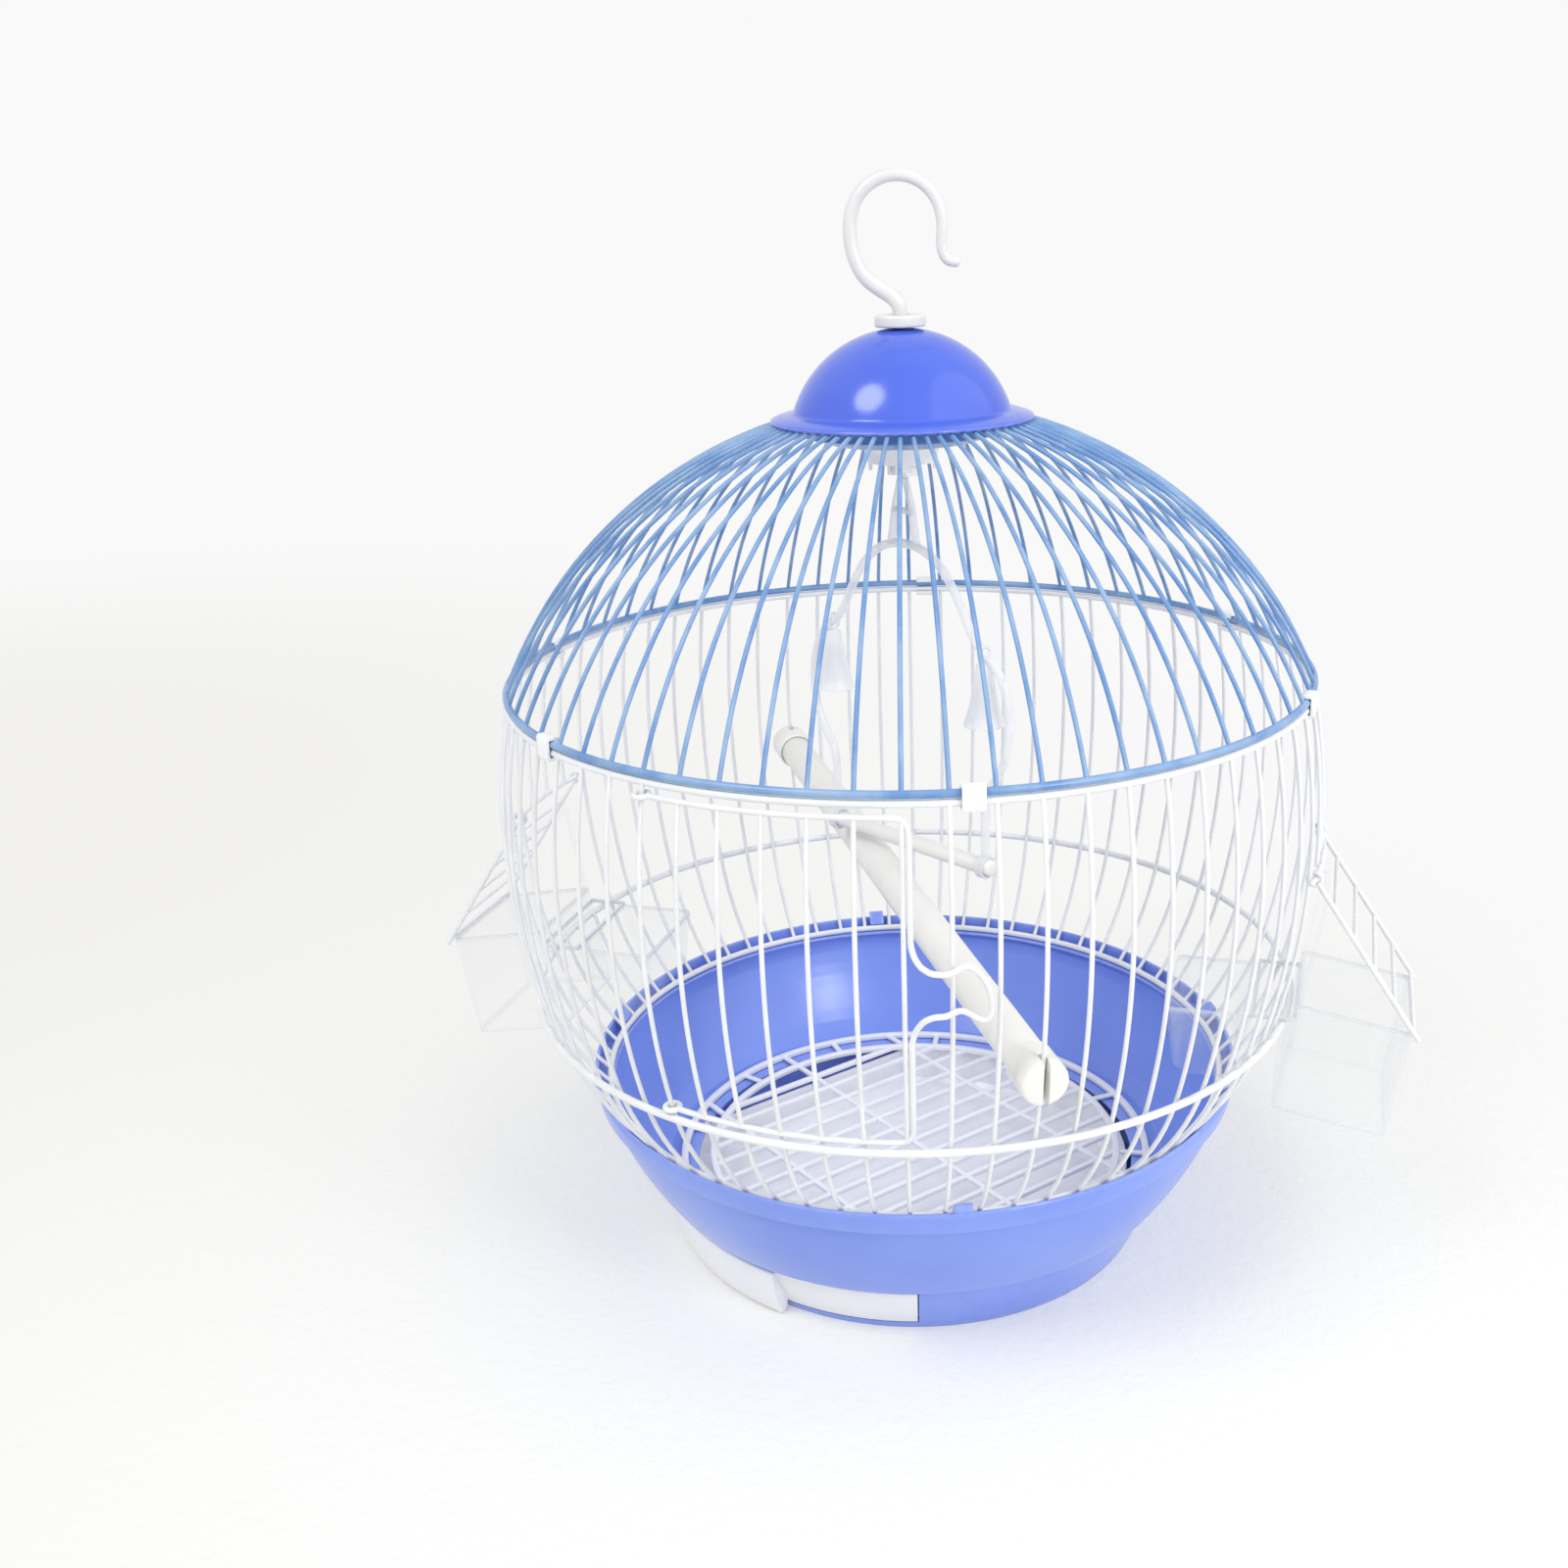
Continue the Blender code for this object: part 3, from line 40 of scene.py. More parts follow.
# All sizes are in metres. An azimuth is in degrees from the viewer's side (-Y) and grows towards +X.
cage = {
    "bars": 66, "firstBar": -0.8, "barWire": 0.0018, "doorWire": 0.0022,
    "ringRadius": 0.165, "ringHeight": 0.253, "ringWire": 0.0030, "hoopWire": 0.0028, "inset": 0.0002,
    "domeCurve": 0.180, "barrelCurve": 0.268, "widest": 0.194, "middle": 0.118,
    "footRadius": 0.1356, "footHeight": 0.0749, "topHoop": 0.034, "gap": 0.0003, "weld": 0.0004,
    "stub": 0.0011, "headerOverhang": 0.7,      # of a cut bar over the middle hoop, and of a header in degrees
    "doorBars": 6, "feederBars": {"right": 14, "left": -19}, "feederTop": 0.183,
}
whiteRingHeight = cage["ringHeight"] - cage["ringWire"] / 2 - cage["gap"] - cage["hoopWire"] / 2


# Points are whole arrays, (rows, columns, 3) or (copies, rows, columns, 3). This gives the point at an
# azimuth, a radius and a height: radius times sine, minus radius times cosine, height.
def around(azimuth, radius, height):
    turn, radius, height = np.broadcast_arrays(np.radians(azimuth), radius, height)
    return np.stack([radius * np.sin(turn), -radius * np.cos(turn), height], axis=-1)


# the level direction away from the axis, and the one a quarter turn further round
def outward(azimuth):
    return around(azimuth, 1.0, 0.0)


def sideways(azimuth):
    return around(np.asarray(azimuth) + 90, 1.0, 0.0)


def barAzimuth(number):
    return cage["firstBar"] + np.asarray(number) * 360 / cage["bars"]


def unit(vectors):
    return vectors / np.linalg.norm(vectors, axis=-1, keepdims=True)


# centre line of the bars: an arc of 268 mm as far down as the middle hoop, then the arc that
# leaves it in the same direction and ends on the foot hoop
def barrelRadius(height):
    height = np.asarray(height, float)
    curve, widest, middle = cage["barrelCurve"], cage["widest"], cage["middle"]
    belly = cage["ringRadius"] - cage["inset"] + curve - np.sqrt(curve ** 2 - (cage["ringHeight"] - widest) ** 2)
    upper = belly - curve + np.sqrt(curve ** 2 - (np.maximum(height, middle) - widest) ** 2)
    knee = belly - curve + np.sqrt(curve ** 2 - (middle - widest) ** 2)
    lean = np.arcsin((widest - middle) / curve)
    across, down = knee - cage["footRadius"], middle - cage["footHeight"]
    tight = (across ** 2 + down ** 2) / (2 * (across * np.cos(lean) - down * np.sin(lean)))
    centreRadius, centreHeight = knee - tight * np.cos(lean), middle + tight * np.sin(lean)
    below = np.minimum(height, middle) - centreHeight
    lower = centreRadius + np.sqrt(np.maximum(tight ** 2 - below ** 2, 0))
    return np.where(height >= middle, upper, lower)


# centre line of the dome wires: one arc of 180 mm that ends on the blue ring
def domeHeight(radius):
    curve = cage["domeCurve"]
    return cage["ringHeight"] - np.sqrt(curve ** 2 - cage["ringRadius"] ** 2) + np.sqrt(curve ** 2 - radius ** 2)


# the point on the bars' surface of revolution, or a standoff further out
def onBarrel(azimuth, height, standoff=0.0):
    return around(azimuth, barrelRadius(height) + standoff, height)


# a closed skin over a grid: rows run along the piece and columns run round it, anticlockwise
# as seen by someone the rows run towards
def skin(grid, ring=False):
    grid = np.asarray(grid, float)
    grid = grid[None] if grid.ndim == 3 else grid
    index = np.arange(grid[..., 0].size).reshape(grid.shape[:3])
    here, there = (index, np.roll(index, -1, 1)) if ring else (index[:, :-1], index[:, 1:])
    faces = [np.stack([here, np.roll(here, -1, 2), np.roll(there, -1, 2), there], -1).reshape(-1, 4)]
    if not ring:
        faces += [index[:, 0, ::-1], index[:, -1]]
    return grid.reshape(-1, 3), faces


# a round wire: circles carried along a path, square to it; up is any direction off the path
def tube(path, radius, up, sides=10, ring=False):
    path = np.asarray(path, float)
    path = path[None] if path.ndim == 2 else path
    ahead = unit(np.roll(path, -1, 1) - np.roll(path, 1, 1) if ring else np.gradient(path, axis=1))
    up = np.broadcast_to(up, path.shape)
    up = unit(up - ahead * (up * ahead).sum(-1, keepdims=True))
    side = np.cross(ahead, up)
    turn = np.linspace(0, 2 * np.pi, sides, endpoint=False)[:, None]
    circle = up[:, :, None] * np.cos(turn) + side[:, :, None] * np.sin(turn)
    radius = np.broadcast_to(radius, path.shape[:2])[..., None, None]
    return skin(path[:, :, None] + circle * radius, ring)


# a hoop of wire about the cage's axis
def hoopAt(radius, height, wireSize, sides=14, steps=264):
    circle = np.linspace(0, 360, steps, endpoint=False)
    return tube(around(circle, radius, height), wireSize / 2, [0, 0, 1], sides, True)


# adds a half ball to each end of a path, as positions and radii
def withEnds(path, radius, steps=4, squash=0.7):
    path = np.asarray(path, float)
    path = path[None] if path.ndim == 2 else path
    radius = np.broadcast_to(radius, path.shape[:2]).astype(float)
    turn = np.linspace(0, 1.35, steps + 1)[1:]
    first, last = unit(path[:, 0] - path[:, 1]), unit(path[:, -1] - path[:, -2])
    head = path[:, :1] + first[:, None] * (np.sin(turn[::-1]) * squash)[:, None] * radius[:, :1, None]
    tail = path[:, -1:] + last[:, None] * (np.sin(turn) * squash)[:, None] * radius[:, -1:, None]
    path = np.concatenate([head, path, tail], 1)
    return path, np.concatenate([radius[:, :1] * np.cos(turn[::-1]), radius, radius[:, -1:] * np.cos(turn)], 1)


# a path's points at even steps along its length
def evenly(points, count):
    points = np.asarray(points, float)
    reach = np.concatenate([[0], np.cumsum(np.linalg.norm(np.diff(points, axis=0), axis=1))])
    steps = np.linspace(0, reach[-1], count)
    return np.stack([np.interp(steps, reach, points[:, i]) for i in range(points.shape[1])], -1)


# rounds the corners of a closed outline, or of an open line: each corner becomes the parabola
# that touches both of its edges, a radius away from it
def rounded(outline, radius, steps=4, line=False):
    corner = np.asarray(outline, float)
    before, after = np.roll(corner, 1, 0) - corner, np.roll(corner, -1, 0) - corner
    far = np.minimum(np.linalg.norm(before, axis=1), np.linalg.norm(after, axis=1))
    cut = np.minimum(np.broadcast_to(radius, len(corner)), far * 0.48)[:, None, None]
    t = np.linspace(0, 1, steps)[None, :, None]
    start, end = unit(before)[:, None] * cut, unit(after)[:, None] * cut
    curve = corner[:, None] + (1 - t) ** 2 * start + t * t * end
    if line:
        return np.concatenate([corner[:1], curve[1:-1].reshape(-1, corner.shape[1]), corner[-1:]])
    return curve.reshape(-1, corner.shape[1])


# a rectangle from one corner to the opposite one, its corners rounded
def box(low, high, radius, steps=3):
    return rounded([low, (high[0], low[1]), high, (low[0], high[1])], radius, steps)


# an outline in clockwise order: the sum of x times the next y, less y times the next x, is below 0
def clockwise(outline):
    x, y = np.asarray(outline, float).T
    return outline if (x * np.roll(y, -1) - y * np.roll(x, -1)).sum() < 0 else outline[::-1]


# a closed outline of radius and height, carried round the cage's axis, all round or part of the way
def carriedRound(outline, steps=160, first=0.0, sweep=360.0):
    outline = clockwise(np.asarray(outline, float))
    ring = sweep >= 360
    azimuth = first + sweep * np.arange(steps + (not ring))[:, None] / steps
    return skin(around(azimuth, outline[:, 0], outline[:, 1]), ring)


# a solid turned on its axis from an open line of radius and height that ends at its top
def spun(line, steps=64):
    line = np.asarray(line, float)
    azimuth = 360 * np.arange(steps) / steps
    return skin(around(azimuth, line[:, :1], line[:, 1:]))


# straight bars with one cross-section (across, up), their ends drawn in a little; each has a row a
# margin away from its ends
def straightBars(starts, ends, outline, up, ease=0.0002, margin=0.002):
    starts, ends = np.atleast_2d(starts), np.atleast_2d(ends)
    outline = clockwise(np.asarray(outline, float))
    length = np.linalg.norm(ends - starts, axis=1)[:, None, None, None]
    ahead = unit(ends - starts)[:, None, None]
    up = np.broadcast_to(up, starts.shape)[:, None, None]
    up = unit(up - ahead * (up * ahead).sum(-1, keepdims=True))
    side = np.cross(ahead, up)
    middle = outline.mean(0)
    shrink = 1 - ease / np.abs(outline - middle).max()
    drawnIn = middle + (outline - middle) * shrink
    rows = np.stack([drawnIn, outline, outline, outline, outline, drawnIn])
    inset = np.array([0, ease, 1, 1, ease, 0])[None, :, None, None]
    inset = np.where(inset == 1, np.minimum(margin, length * 0.3), inset)
    fromEnd = np.array([0, 0, 0, 1, 1, 1])[None, :, None, None]
    place = inset * (1 - 2 * fromEnd) + length * fromEnd
    return skin(starts[:, None, None] + ahead * place + side * rows[None, ..., :1] + up * rows[None, ..., 1:])


# a block whose outline of radius and height stands in the plane of an azimuth
def block(outline, azimuth, halfWidth, ease=0.0002, middle=0.0):
    side = sideways(azimuth)
    outline = np.asarray(outline, float)
    # the outline's first axis points outwards, which is straightBars' side for a run along -side
    return straightBars(side * (middle + halfWidth), side * (middle - halfWidth), outline * [-1, 1], [0, 0, 1], ease)


# adds rows a margin away from both ends of each long step, so that a flat wall stays flat up to
# its corners
def withMargins(rows, margin):
    step = np.diff(rows, axis=0)
    size = np.abs(step[:, :4]).max(1)
    share = np.where(size > 3 * margin, margin / size, 0)[:, None]
    beside = np.stack([rows[:-1] + step * share, rows[1:] - step * share], 1)
    kept = [[row] if share == 0 else [row, *two] for row, two, share in zip(rows, beside, share[:, 0])]
    return np.concatenate([*kept, rows[-1:]])


# an open box: each row is a rounded rectangle (nearest, furthest, half width, height, corner), up
# the outside and down the inside, placed by its origin and its out, side and up directions; each
# flat has a column and a row a margin away from its corners
def vessel(rows, origin, out, side, up, steps=6, margin=0.002):
    rows = np.asarray(rows, float)
    drawnIn = [margin, -margin, -margin, 0, 0]
    rows = np.concatenate([rows[:1] + drawnIn, rows, rows[-1:] + drawnIn])
    near, far, half, height, corner = withMargins(rows, margin).T[:, :, None]
    turn = np.linspace(0, np.pi / 2, steps)
    turn = np.concatenate([turn[:1], turn, turn[-1:]])
    angle = np.concatenate([turn + quarter * np.pi / 2 for quarter in range(4)])
    along = np.tile([-margin] + [0] * steps + [margin], 4)
    signX = np.repeat([1, -1, -1, 1], steps + 2)
    signY = np.repeat([1, 1, -1, -1], steps + 2)
    x = np.where(signX > 0, far - corner, near + corner) + corner * np.cos(angle) - along * np.sin(angle)
    y = signY * (half - corner) + corner * np.sin(angle) + along * np.cos(angle)
    height = height[:, 0]
    grid = origin + x[..., None] * out + y[..., None] * side + height[:, None, None] * up
    return skin(grid)


# a flat frame round a window, its inner and outer outlines joined by a rectangular cross-section
def windowFrame(outer, inner, origin, side, up, depth, steps=6):
    angle = np.concatenate([np.linspace(0, np.pi / 2, steps) + quarter * np.pi / 2 for quarter in range(4)])
    signX, signY = np.repeat([1, -1, -1, 1], steps), np.repeat([1, 1, -1, -1], steps)

    def outline(half, low, high, corner):
        x = signX * (half - corner) + corner * np.cos(angle)
        y = (low + high) / 2 + signY * ((high - low) / 2 - corner) + corner * np.sin(angle)
        return x[:, None] * side + y[:, None] * up

    big, small = outline(*outer), outline(*inner)
    grid = origin + np.stack([big, big + depth, small + depth, small], 1)
    return skin(grid, True)


# lays points that stand on z = 0 along the line from start towards a second point
def laidAlong(part, start, towards):
    points, faces = part
    ahead = unit(np.asarray(towards) - start)
    side = unit(np.cross(ahead, [0, 0, 1]))
    turn = np.stack([side, np.cross(ahead, side), ahead])
    return points @ turn + start, faces


# joins skins into one mesh, keeps edges above the crease crisp, and stores on each point how
# sharply the surface turns outwards there, 1 for a corner of half a millimetre or less
def makePiece(name, parts, material, body, nodes, crease=40, bevel=0.0):
    counts = np.cumsum([0] + [len(points) for points, faces in parts])
    faces = [face for first, (points, groups) in zip(counts, parts) for group in groups
             for face in (group + first).tolist()]
    mesh = bpy.data.meshes.new(name)
    mesh.from_pydata(np.concatenate([points for points, faces in parts]), [], faces)
    mesh.update()
    mesh.shade_smooth()
    mesh.set_sharp_from_angle(angle=np.radians(crease))
    place, normal = np.empty((2, len(mesh.vertices), 3), np.float32)
    mesh.vertices.foreach_get("co", place.ravel())
    mesh.vertices.foreach_get("normal", normal.ravel())
    ends = np.empty((len(mesh.edges), 2), np.int32)
    mesh.edges.foreach_get("vertices", ends.ravel())
    step = place[ends[:, 1]] - place[ends[:, 0]]
    turn = ((normal[ends[:, 1]] - normal[ends[:, 0]]) * step).sum(1) / np.maximum((step * step).sum(1), 1e-12)
    bend = np.zeros(len(place), np.float32)
    np.maximum.at(bend, ends[:, 0], turn)
    np.maximum.at(bend, ends[:, 1], turn)
    mesh.attributes.new("edge", "FLOAT", "POINT").data.foreach_set("value", np.clip(bend * 0.0005, 0, 1))
    mesh.materials.append(material)
    piece = bpy.data.objects.new(name, mesh)
    bpy.context.scene.collection.objects.link(piece)
    if bevel:
        soften = piece.modifiers.new("soften", "BEVEL")
        soften.width, soften.segments, soften.limit_method = bevel, 2, "ANGLE"
    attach(piece, body)
    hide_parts(*nodes)
    return piece


# an sRGB hex colour as linear red, green, blue and alpha
def linear(colour):
    value = np.array([int(colour[i:i + 2], 16) for i in (1, 3, 5)]) / 255
    value = np.where(value <= 0.04045, value / 12.92, ((value + 0.055) / 1.055) ** 2.4)
    return (*value.tolist(), 1.0)


# adds a node with its own settings, and puts a value or a link (node, output) in each named socket
def addNode(tree, kind, settings=None, **sockets):
    node = tree.nodes.new("ShaderNode" + kind)
    for name, value in (settings or {}).items():
        setattr(node, name, value)
    for name, value in sockets.items():
        socket = node.inputs[int(name[1:])] if name[0] == "_" else node.inputs[name.replace("_", " ")]
        if isinstance(value, tuple) and isinstance(value[0], bpy.types.Node):
            tree.links.new(value[0].outputs[value[1]], socket)
        else:
            socket.default_value = value
    return node


# an empty material and its node tree
def newMaterial(name):
    material = bpy.data.materials.new(name)
    material.use_nodes = True
    material.node_tree.nodes.clear()
    return material, material.node_tree


# sizes of the rubbed patches on edges, and how many hairline scratches lie across a metre each way
marks = {"rubSize": 0.004, "scratches": (700, 60, 110), "scratchTurn": (0.3, 0.5, 0.7)}


# Moulded polypropylene, ABS and polystyrene: an even colour with slow flow marks from the mould,
# rubbed paler edges, a fine grain, and sparse hairline scratches that break the gloss. A clear or
# frosted one lets light through where it faces the eye, and shows at its edges.
def mouldedPlastic(name, look):
    material, tree = newMaterial(name)
    place = addNode(tree, "TexCoord")
    flow = addNode(tree, "TexNoise", Vector=(place, "Object"), Scale=1 / look["flowSize"], Detail=3.0)
    flowRange = addNode(tree, "MapRange", Value=(flow, "Fac"), From_Min=0.35, From_Max=0.65)
    tone = addNode(tree, "Mix", {"data_type": "RGBA"}, _0=(flowRange, "Result"),
                   _6=linear(look["colour"]), _7=linear(look["flowColour"]))
    edge = addNode(tree, "Attribute", {"attribute_name": "edge"})
    rub = addNode(tree, "TexNoise", Vector=(place, "Object"), Scale=1 / marks["rubSize"], Detail=2.0)
    worn = addNode(tree, "Math", {"operation": "MULTIPLY"}, _0=(edge, "Fac"), _1=(rub, "Fac"))
    wornShare = addNode(tree, "Math", {"operation": "MULTIPLY"}, _0=(worn, "Value"), _1=look["wear"])
    colour = addNode(tree, "Mix", {"data_type": "RGBA"}, _0=(wornShare, "Value"),
                     _6=(tone, "Result"), _7=linear(look["edgeColour"]))
    stretch = addNode(tree, "Mapping", Vector=(place, "Object"), Rotation=marks["scratchTurn"],
                      Scale=marks["scratches"])
    scratch = addNode(tree, "TexNoise", Vector=(stretch, "Vector"), Scale=1.0, Detail=0.0)
    dull = addNode(tree, "MapRange", Value=(scratch, "Fac"), From_Min=0.7, From_Max=0.82,
                   To_Min=look["gloss"], To_Max=look["dull"])
    grain = addNode(tree, "TexNoise", Vector=(place, "Object"), Scale=1 / look["grainSize"], Detail=2.0)
    bump = addNode(tree, "Bump", Height=(grain, "Fac"), Strength=1.0, Distance=look["grainDepth"])
    shader = addNode(tree, "BsdfPrincipled", Base_Color=(colour, "Result"), Roughness=(dull, "Result"),
                     Normal=(bump, "Normal"), IOR=look["ior"])
    if "facing" in look:
        rim = addNode(tree, "LayerWeight", Blend=0.5)
        body = addNode(tree, "MapRange", Value=(rim, "Facing"), From_Min=look["clearUpTo"], From_Max=1.0,
                       To_Min=look["facing"], To_Max=look["grazing"])
        corner = addNode(tree, "Math", {"operation": "MULTIPLY"}, _0=(edge, "Fac"), _1=look["corner"])
        seen = addNode(tree, "Math", {"operation": "MAXIMUM"}, _0=(body, "Result"), _1=(corner, "Value"))
        tree.links.new(seen.outputs["Value"], shader.inputs["Alpha"])
    addNode(tree, "OutputMaterial", Surface=(shader, "BSDF"))
    return material


# Plastic-dipped wire: the coat is thicker in places, so its tone and gloss drift along the wire,
# with a faint orange peel.
def dippedWire(name, look):
    material, tree = newMaterial(name)
    place = addNode(tree, "TexCoord")
    drift = addNode(tree, "TexNoise", Vector=(place, "Object"), Scale=1 / look["driftSize"], Detail=4.0)
    driftRange = addNode(tree, "MapRange", Value=(drift, "Fac"), From_Min=0.38, From_Max=0.66)
    colour = addNode(tree, "Mix", {"data_type": "RGBA"}, _0=(driftRange, "Result"),
                     _6=linear(look["colour"]), _7=linear(look["thinColour"]))
    gloss = addNode(tree, "MapRange", Value=(drift, "Fac"), From_Min=0.3, From_Max=0.7,
                    To_Min=look["gloss"], To_Max=look["dull"])
    peel = addNode(tree, "TexNoise", Vector=(place, "Object"), Scale=1 / look["peelSize"], Detail=2.0)
    bump = addNode(tree, "Bump", Height=(peel, "Fac"), Strength=1.0, Distance=look["peelDepth"])
    shader = addNode(tree, "BsdfPrincipled", Base_Color=(colour, "Result"), Roughness=(gloss, "Result"),
                     Normal=(bump, "Normal"), IOR=1.5)
    addNode(tree, "OutputMaterial", Surface=(shader, "BSDF"))
    return material


# each row: colour, flow marks, rubbed edges, how far these show, the flow's size, roughness of the
# skin and of scratches, the grain's size and depth, and the IOR of the plastic
lookNames = ("colour", "flowColour", "edgeColour", "wear", "flowSize", "gloss", "dull", "grainSize", "grainDepth",
             "ior")
finishes = {
    "bluePolypropylene": ("#7690E6", "#7F99EA", "#B4C2F7", 0.6, 0.06, 0.23, 0.27, 0.0012, 0.00001, 1.49),
    "blueAbs": ("#4461D2", "#4D69D8", "#9DAEEE", 0.6, 0.05, 0.17, 0.24, 0.0014, 0.000006, 1.53),
    # the plate's blue plastic, made much darker than the cap: painted shade for where the plate lies under the cap's
    # flange
    "blueAbsWithPaintedShade": ("#1F5AA6", "#2966B2", "#7FA6DC", 0.5, 0.04, 0.2, 0.3, 0.0012, 0.00001, 1.53),
    "whitePolypropylene": ("#F2F2F4", "#ECEDF1", "#F8F8F9", 0.4, 0.05, 0.3, 0.38, 0.0011, 0.000008, 1.49),
    # the white polypropylene greyed for the hook and its collar: painted shade, because these stand in full light
    "hookPolypropylenePaintedShade": ("#DCDCDC", "#D6D6D7", "#F4F4F4", 0.4, 0.02, 0.3, 0.36, 0.0011, 0.000008, 1.49),
    # the tray's own white, raised further as painted light to make up for the shade under the grate
    "trayWhiteAndPaintedLight": ("#F6F7FA", "#F0F1F7", "#F9FAFC", 0.3, 0.05, 0.3, 0.36, 0.0012, 0.000008, 1.55),
    "creamPolypropylene": ("#EDEBE6", "#E8E6E0", "#F8F7F5", 0.4, 0.04, 0.34, 0.44, 0.001, 0.000008, 1.49),
    "frostedPolypropylene": ("#F5F6F9", "#EDEFF4", "#FAFAFC", 0.4, 0.02, 0.25, 0.34, 0.0009, 0.00001, 1.49),
    "clearPolystyrene": ("#D8DCE0", "#DEE1E5", "#D4D8DC", 1.0, 0.03, 0.05, 0.08, 0.012, 0.00001, 1.59),
}
# how solid a see-through finish is where it faces the eye, at a grazing angle, and at a corner
seeThrough = {
    "frostedPolypropylene": {"facing": 0.5, "grazing": 0.95, "clearUpTo": 0.15, "corner": 0.5},
    "clearPolystyrene": {"facing": 0.006, "grazing": 0.25, "clearUpTo": 0.75, "corner": 0.8},
}
wires = {
    "bluePvcCoat": {"colour": "#628CC2", "thinColour": "#8CAACE", "driftSize": 0.02, "gloss": 0.22, "dull": 0.4,
                    "peelSize": 0.0016, "peelDepth": 0.00002},
    "whitePvcCoat": {"colour": "#EAEBEC", "thinColour": "#E2E3E5", "driftSize": 0.02, "gloss": 0.25, "dull": 0.42,
                     "peelSize": 0.0016, "peelDepth": 0.00002},
}
plastic = {name: mouldedPlastic(name, dict(zip(lookNames, row)) | seeThrough.get(name, {}))
           for name, row in finishes.items()}
wire = {name: dippedWire(name, look) for name, look in wires.items()}
print("materials made:", len(plastic) + len(wire))


# the blue half: dome wires from ring to cap, the ring itself, and the hoop under the cap
def makeDome():
    number = np.arange(cage["bars"])
    azimuth = barAzimuth(number)[:, None]
    lean = np.arcsin(np.array([cage["ringRadius"], cage["topHoop"]]) / cage["domeCurve"])
    radius = cage["domeCurve"] * np.sin(np.linspace(*lean, 26))
    rods = tube(around(azimuth, radius, domeHeight(radius)), cage["barWire"] / 2, sideways(azimuth), 10)
    ring = hoopAt(cage["ringRadius"], cage["ringHeight"], cage["ringWire"])
    topHoop = hoopAt(cage["topHoop"], domeHeight(cage["topHoop"]), cage["hoopWire"], 10, 132)
    makePiece("dome_wires", [rods, ring, topHoop], wire["bluePvcCoat"], "cage",
              ["dome_wire_frame"])


# the white half: bars, their two hoops and the headers over the feeders, then the middle hoop
def makeLowerWires():
    number = np.arange(-cage["bars"] // 2, cage["bars"] // 2)
    door = (number > -cage["doorBars"]) & (number <= 0)
    feeder = np.any([abs(number - middle) <= 1 for middle in cage["feederBars"].values()], axis=0)
    middle = cage["middle"]

    def rods(which, low, high, rows):
        azimuth = barAzimuth(number[which])[:, None]
        height = np.linspace(low, high, rows)
        return tube(onBarrel(azimuth, height), cage["barWire"] / 2, sideways(azimuth), 10)

    parts = [rods(~door & ~feeder, cage["footHeight"], whiteRingHeight, 30),
             rods(door | feeder, cage["footHeight"], middle + cage["stub"], 10),
             rods(feeder, cage["feederTop"], whiteRingHeight, 12)]
    parts.append(hoopAt(cage["ringRadius"], whiteRingHeight, cage["hoopWire"]))
    parts.append(hoopAt(cage["footRadius"], cage["footHeight"], cage["hoopWire"]))
    standoff = cage["barWire"] / 2 + cage["doorWire"] / 2 - cage["weld"]
    span = 2 * 360 / cage["bars"] + cage["headerOverhang"]
    for middleBar in cage["feederBars"].values():
        azimuth = barAzimuth(middleBar) + np.linspace(-span, span, 24)
        path, radius = withEnds(onBarrel(azimuth, cage["feederTop"], standoff), cage["doorWire"] / 2)
        parts.append(tube(path, radius, [0, 0, 1], 12))
    makePiece("lower_wires", parts, wire["whitePvcCoat"], "cage", ["lower_wire_frame"])

    radius = barrelRadius(middle) + cage["barWire"] / 2 + cage["ringWire"] / 2 + cage["gap"]
    makePiece("middle_wire_hoop", [hoopAt(radius, middle, cage["ringWire"])], wire["whitePvcCoat"], "cage",
              ["middle_hoop"])


# clips that hold the two rings together; each lip turns in over its ring
clip = {"bars": (1.5, 12.5, 21.5, 32.5, 46.5, 56.5), "width": 0.008, "wall": 0.0012, "lip": 0.0007,
        "lipHeight": 0.0014, "chamfer": 0.0006, "corner": 0.0004, "backGap": 0.0002}


def makeClips():
    hole = cage["ringWire"] / 2 + cage["gap"]
    near, far = cage["ringRadius"] - hole - clip["backGap"], cage["ringRadius"] + hole
    foot, head = whiteRingHeight - hole, cage["ringHeight"] + hole
    wall, lip, cut, soft = clip["wall"], clip["lip"], clip["chamfer"], cage["gap"]
    reach = clip["lipHeight"] - soft
    outline = [(near + cut, foot - wall), (far + wall - cut, foot - wall), (far + wall, foot), (far + wall, head),
               (far + wall - cut, head + wall), (near + cut, head + wall), (near - lip, head + soft),
               (near - lip, head - reach), (near, head - reach), (near, head), (far, head), (far, foot),
               (near, foot), (near, foot + reach), (near - lip, foot + reach), (near - lip, foot - soft)]
    outline = rounded(outline, clip["corner"], 3)
    for i, number in enumerate(clip["bars"]):
        part = block(outline, barAzimuth(number), clip["width"] / 2)
        makePiece(f"clip_{i + 1}", [part], plastic["whitePolypropylene"], "cage",
                  [f"ring_clip_{i + 1}"])


# the blue base: foot, skirt, shoulder, bowl and rim band, with four tabs that snap over the foot hoop
base = {
    "foot": 0.102, "skirt": 0.113, "shoulder": 0.1168, "shoulderHeight": 0.0264, "bowl": 0.1388, "rim": 0.1426,
    "rimHeight": 0.079, "band": 0.0095, "wall": 0.002, "floor": 0.0037, "ledge": 0.0252, "ledgeBore": 0.099,
    "shelfBore": 0.1335, "shelfWall": 0.0016, "bulge": 0.0022, "seat": 0.0071, "footWidth": 0.0042,
    "footLift": 0.0015, "floorRow": 0.05, "corner": 0.0008, "sides": 192,
    "tabBars": (1.5, 18.5, 34.5, 47.5), "tabWidth": 0.007, "tabRise": 0.003,
}
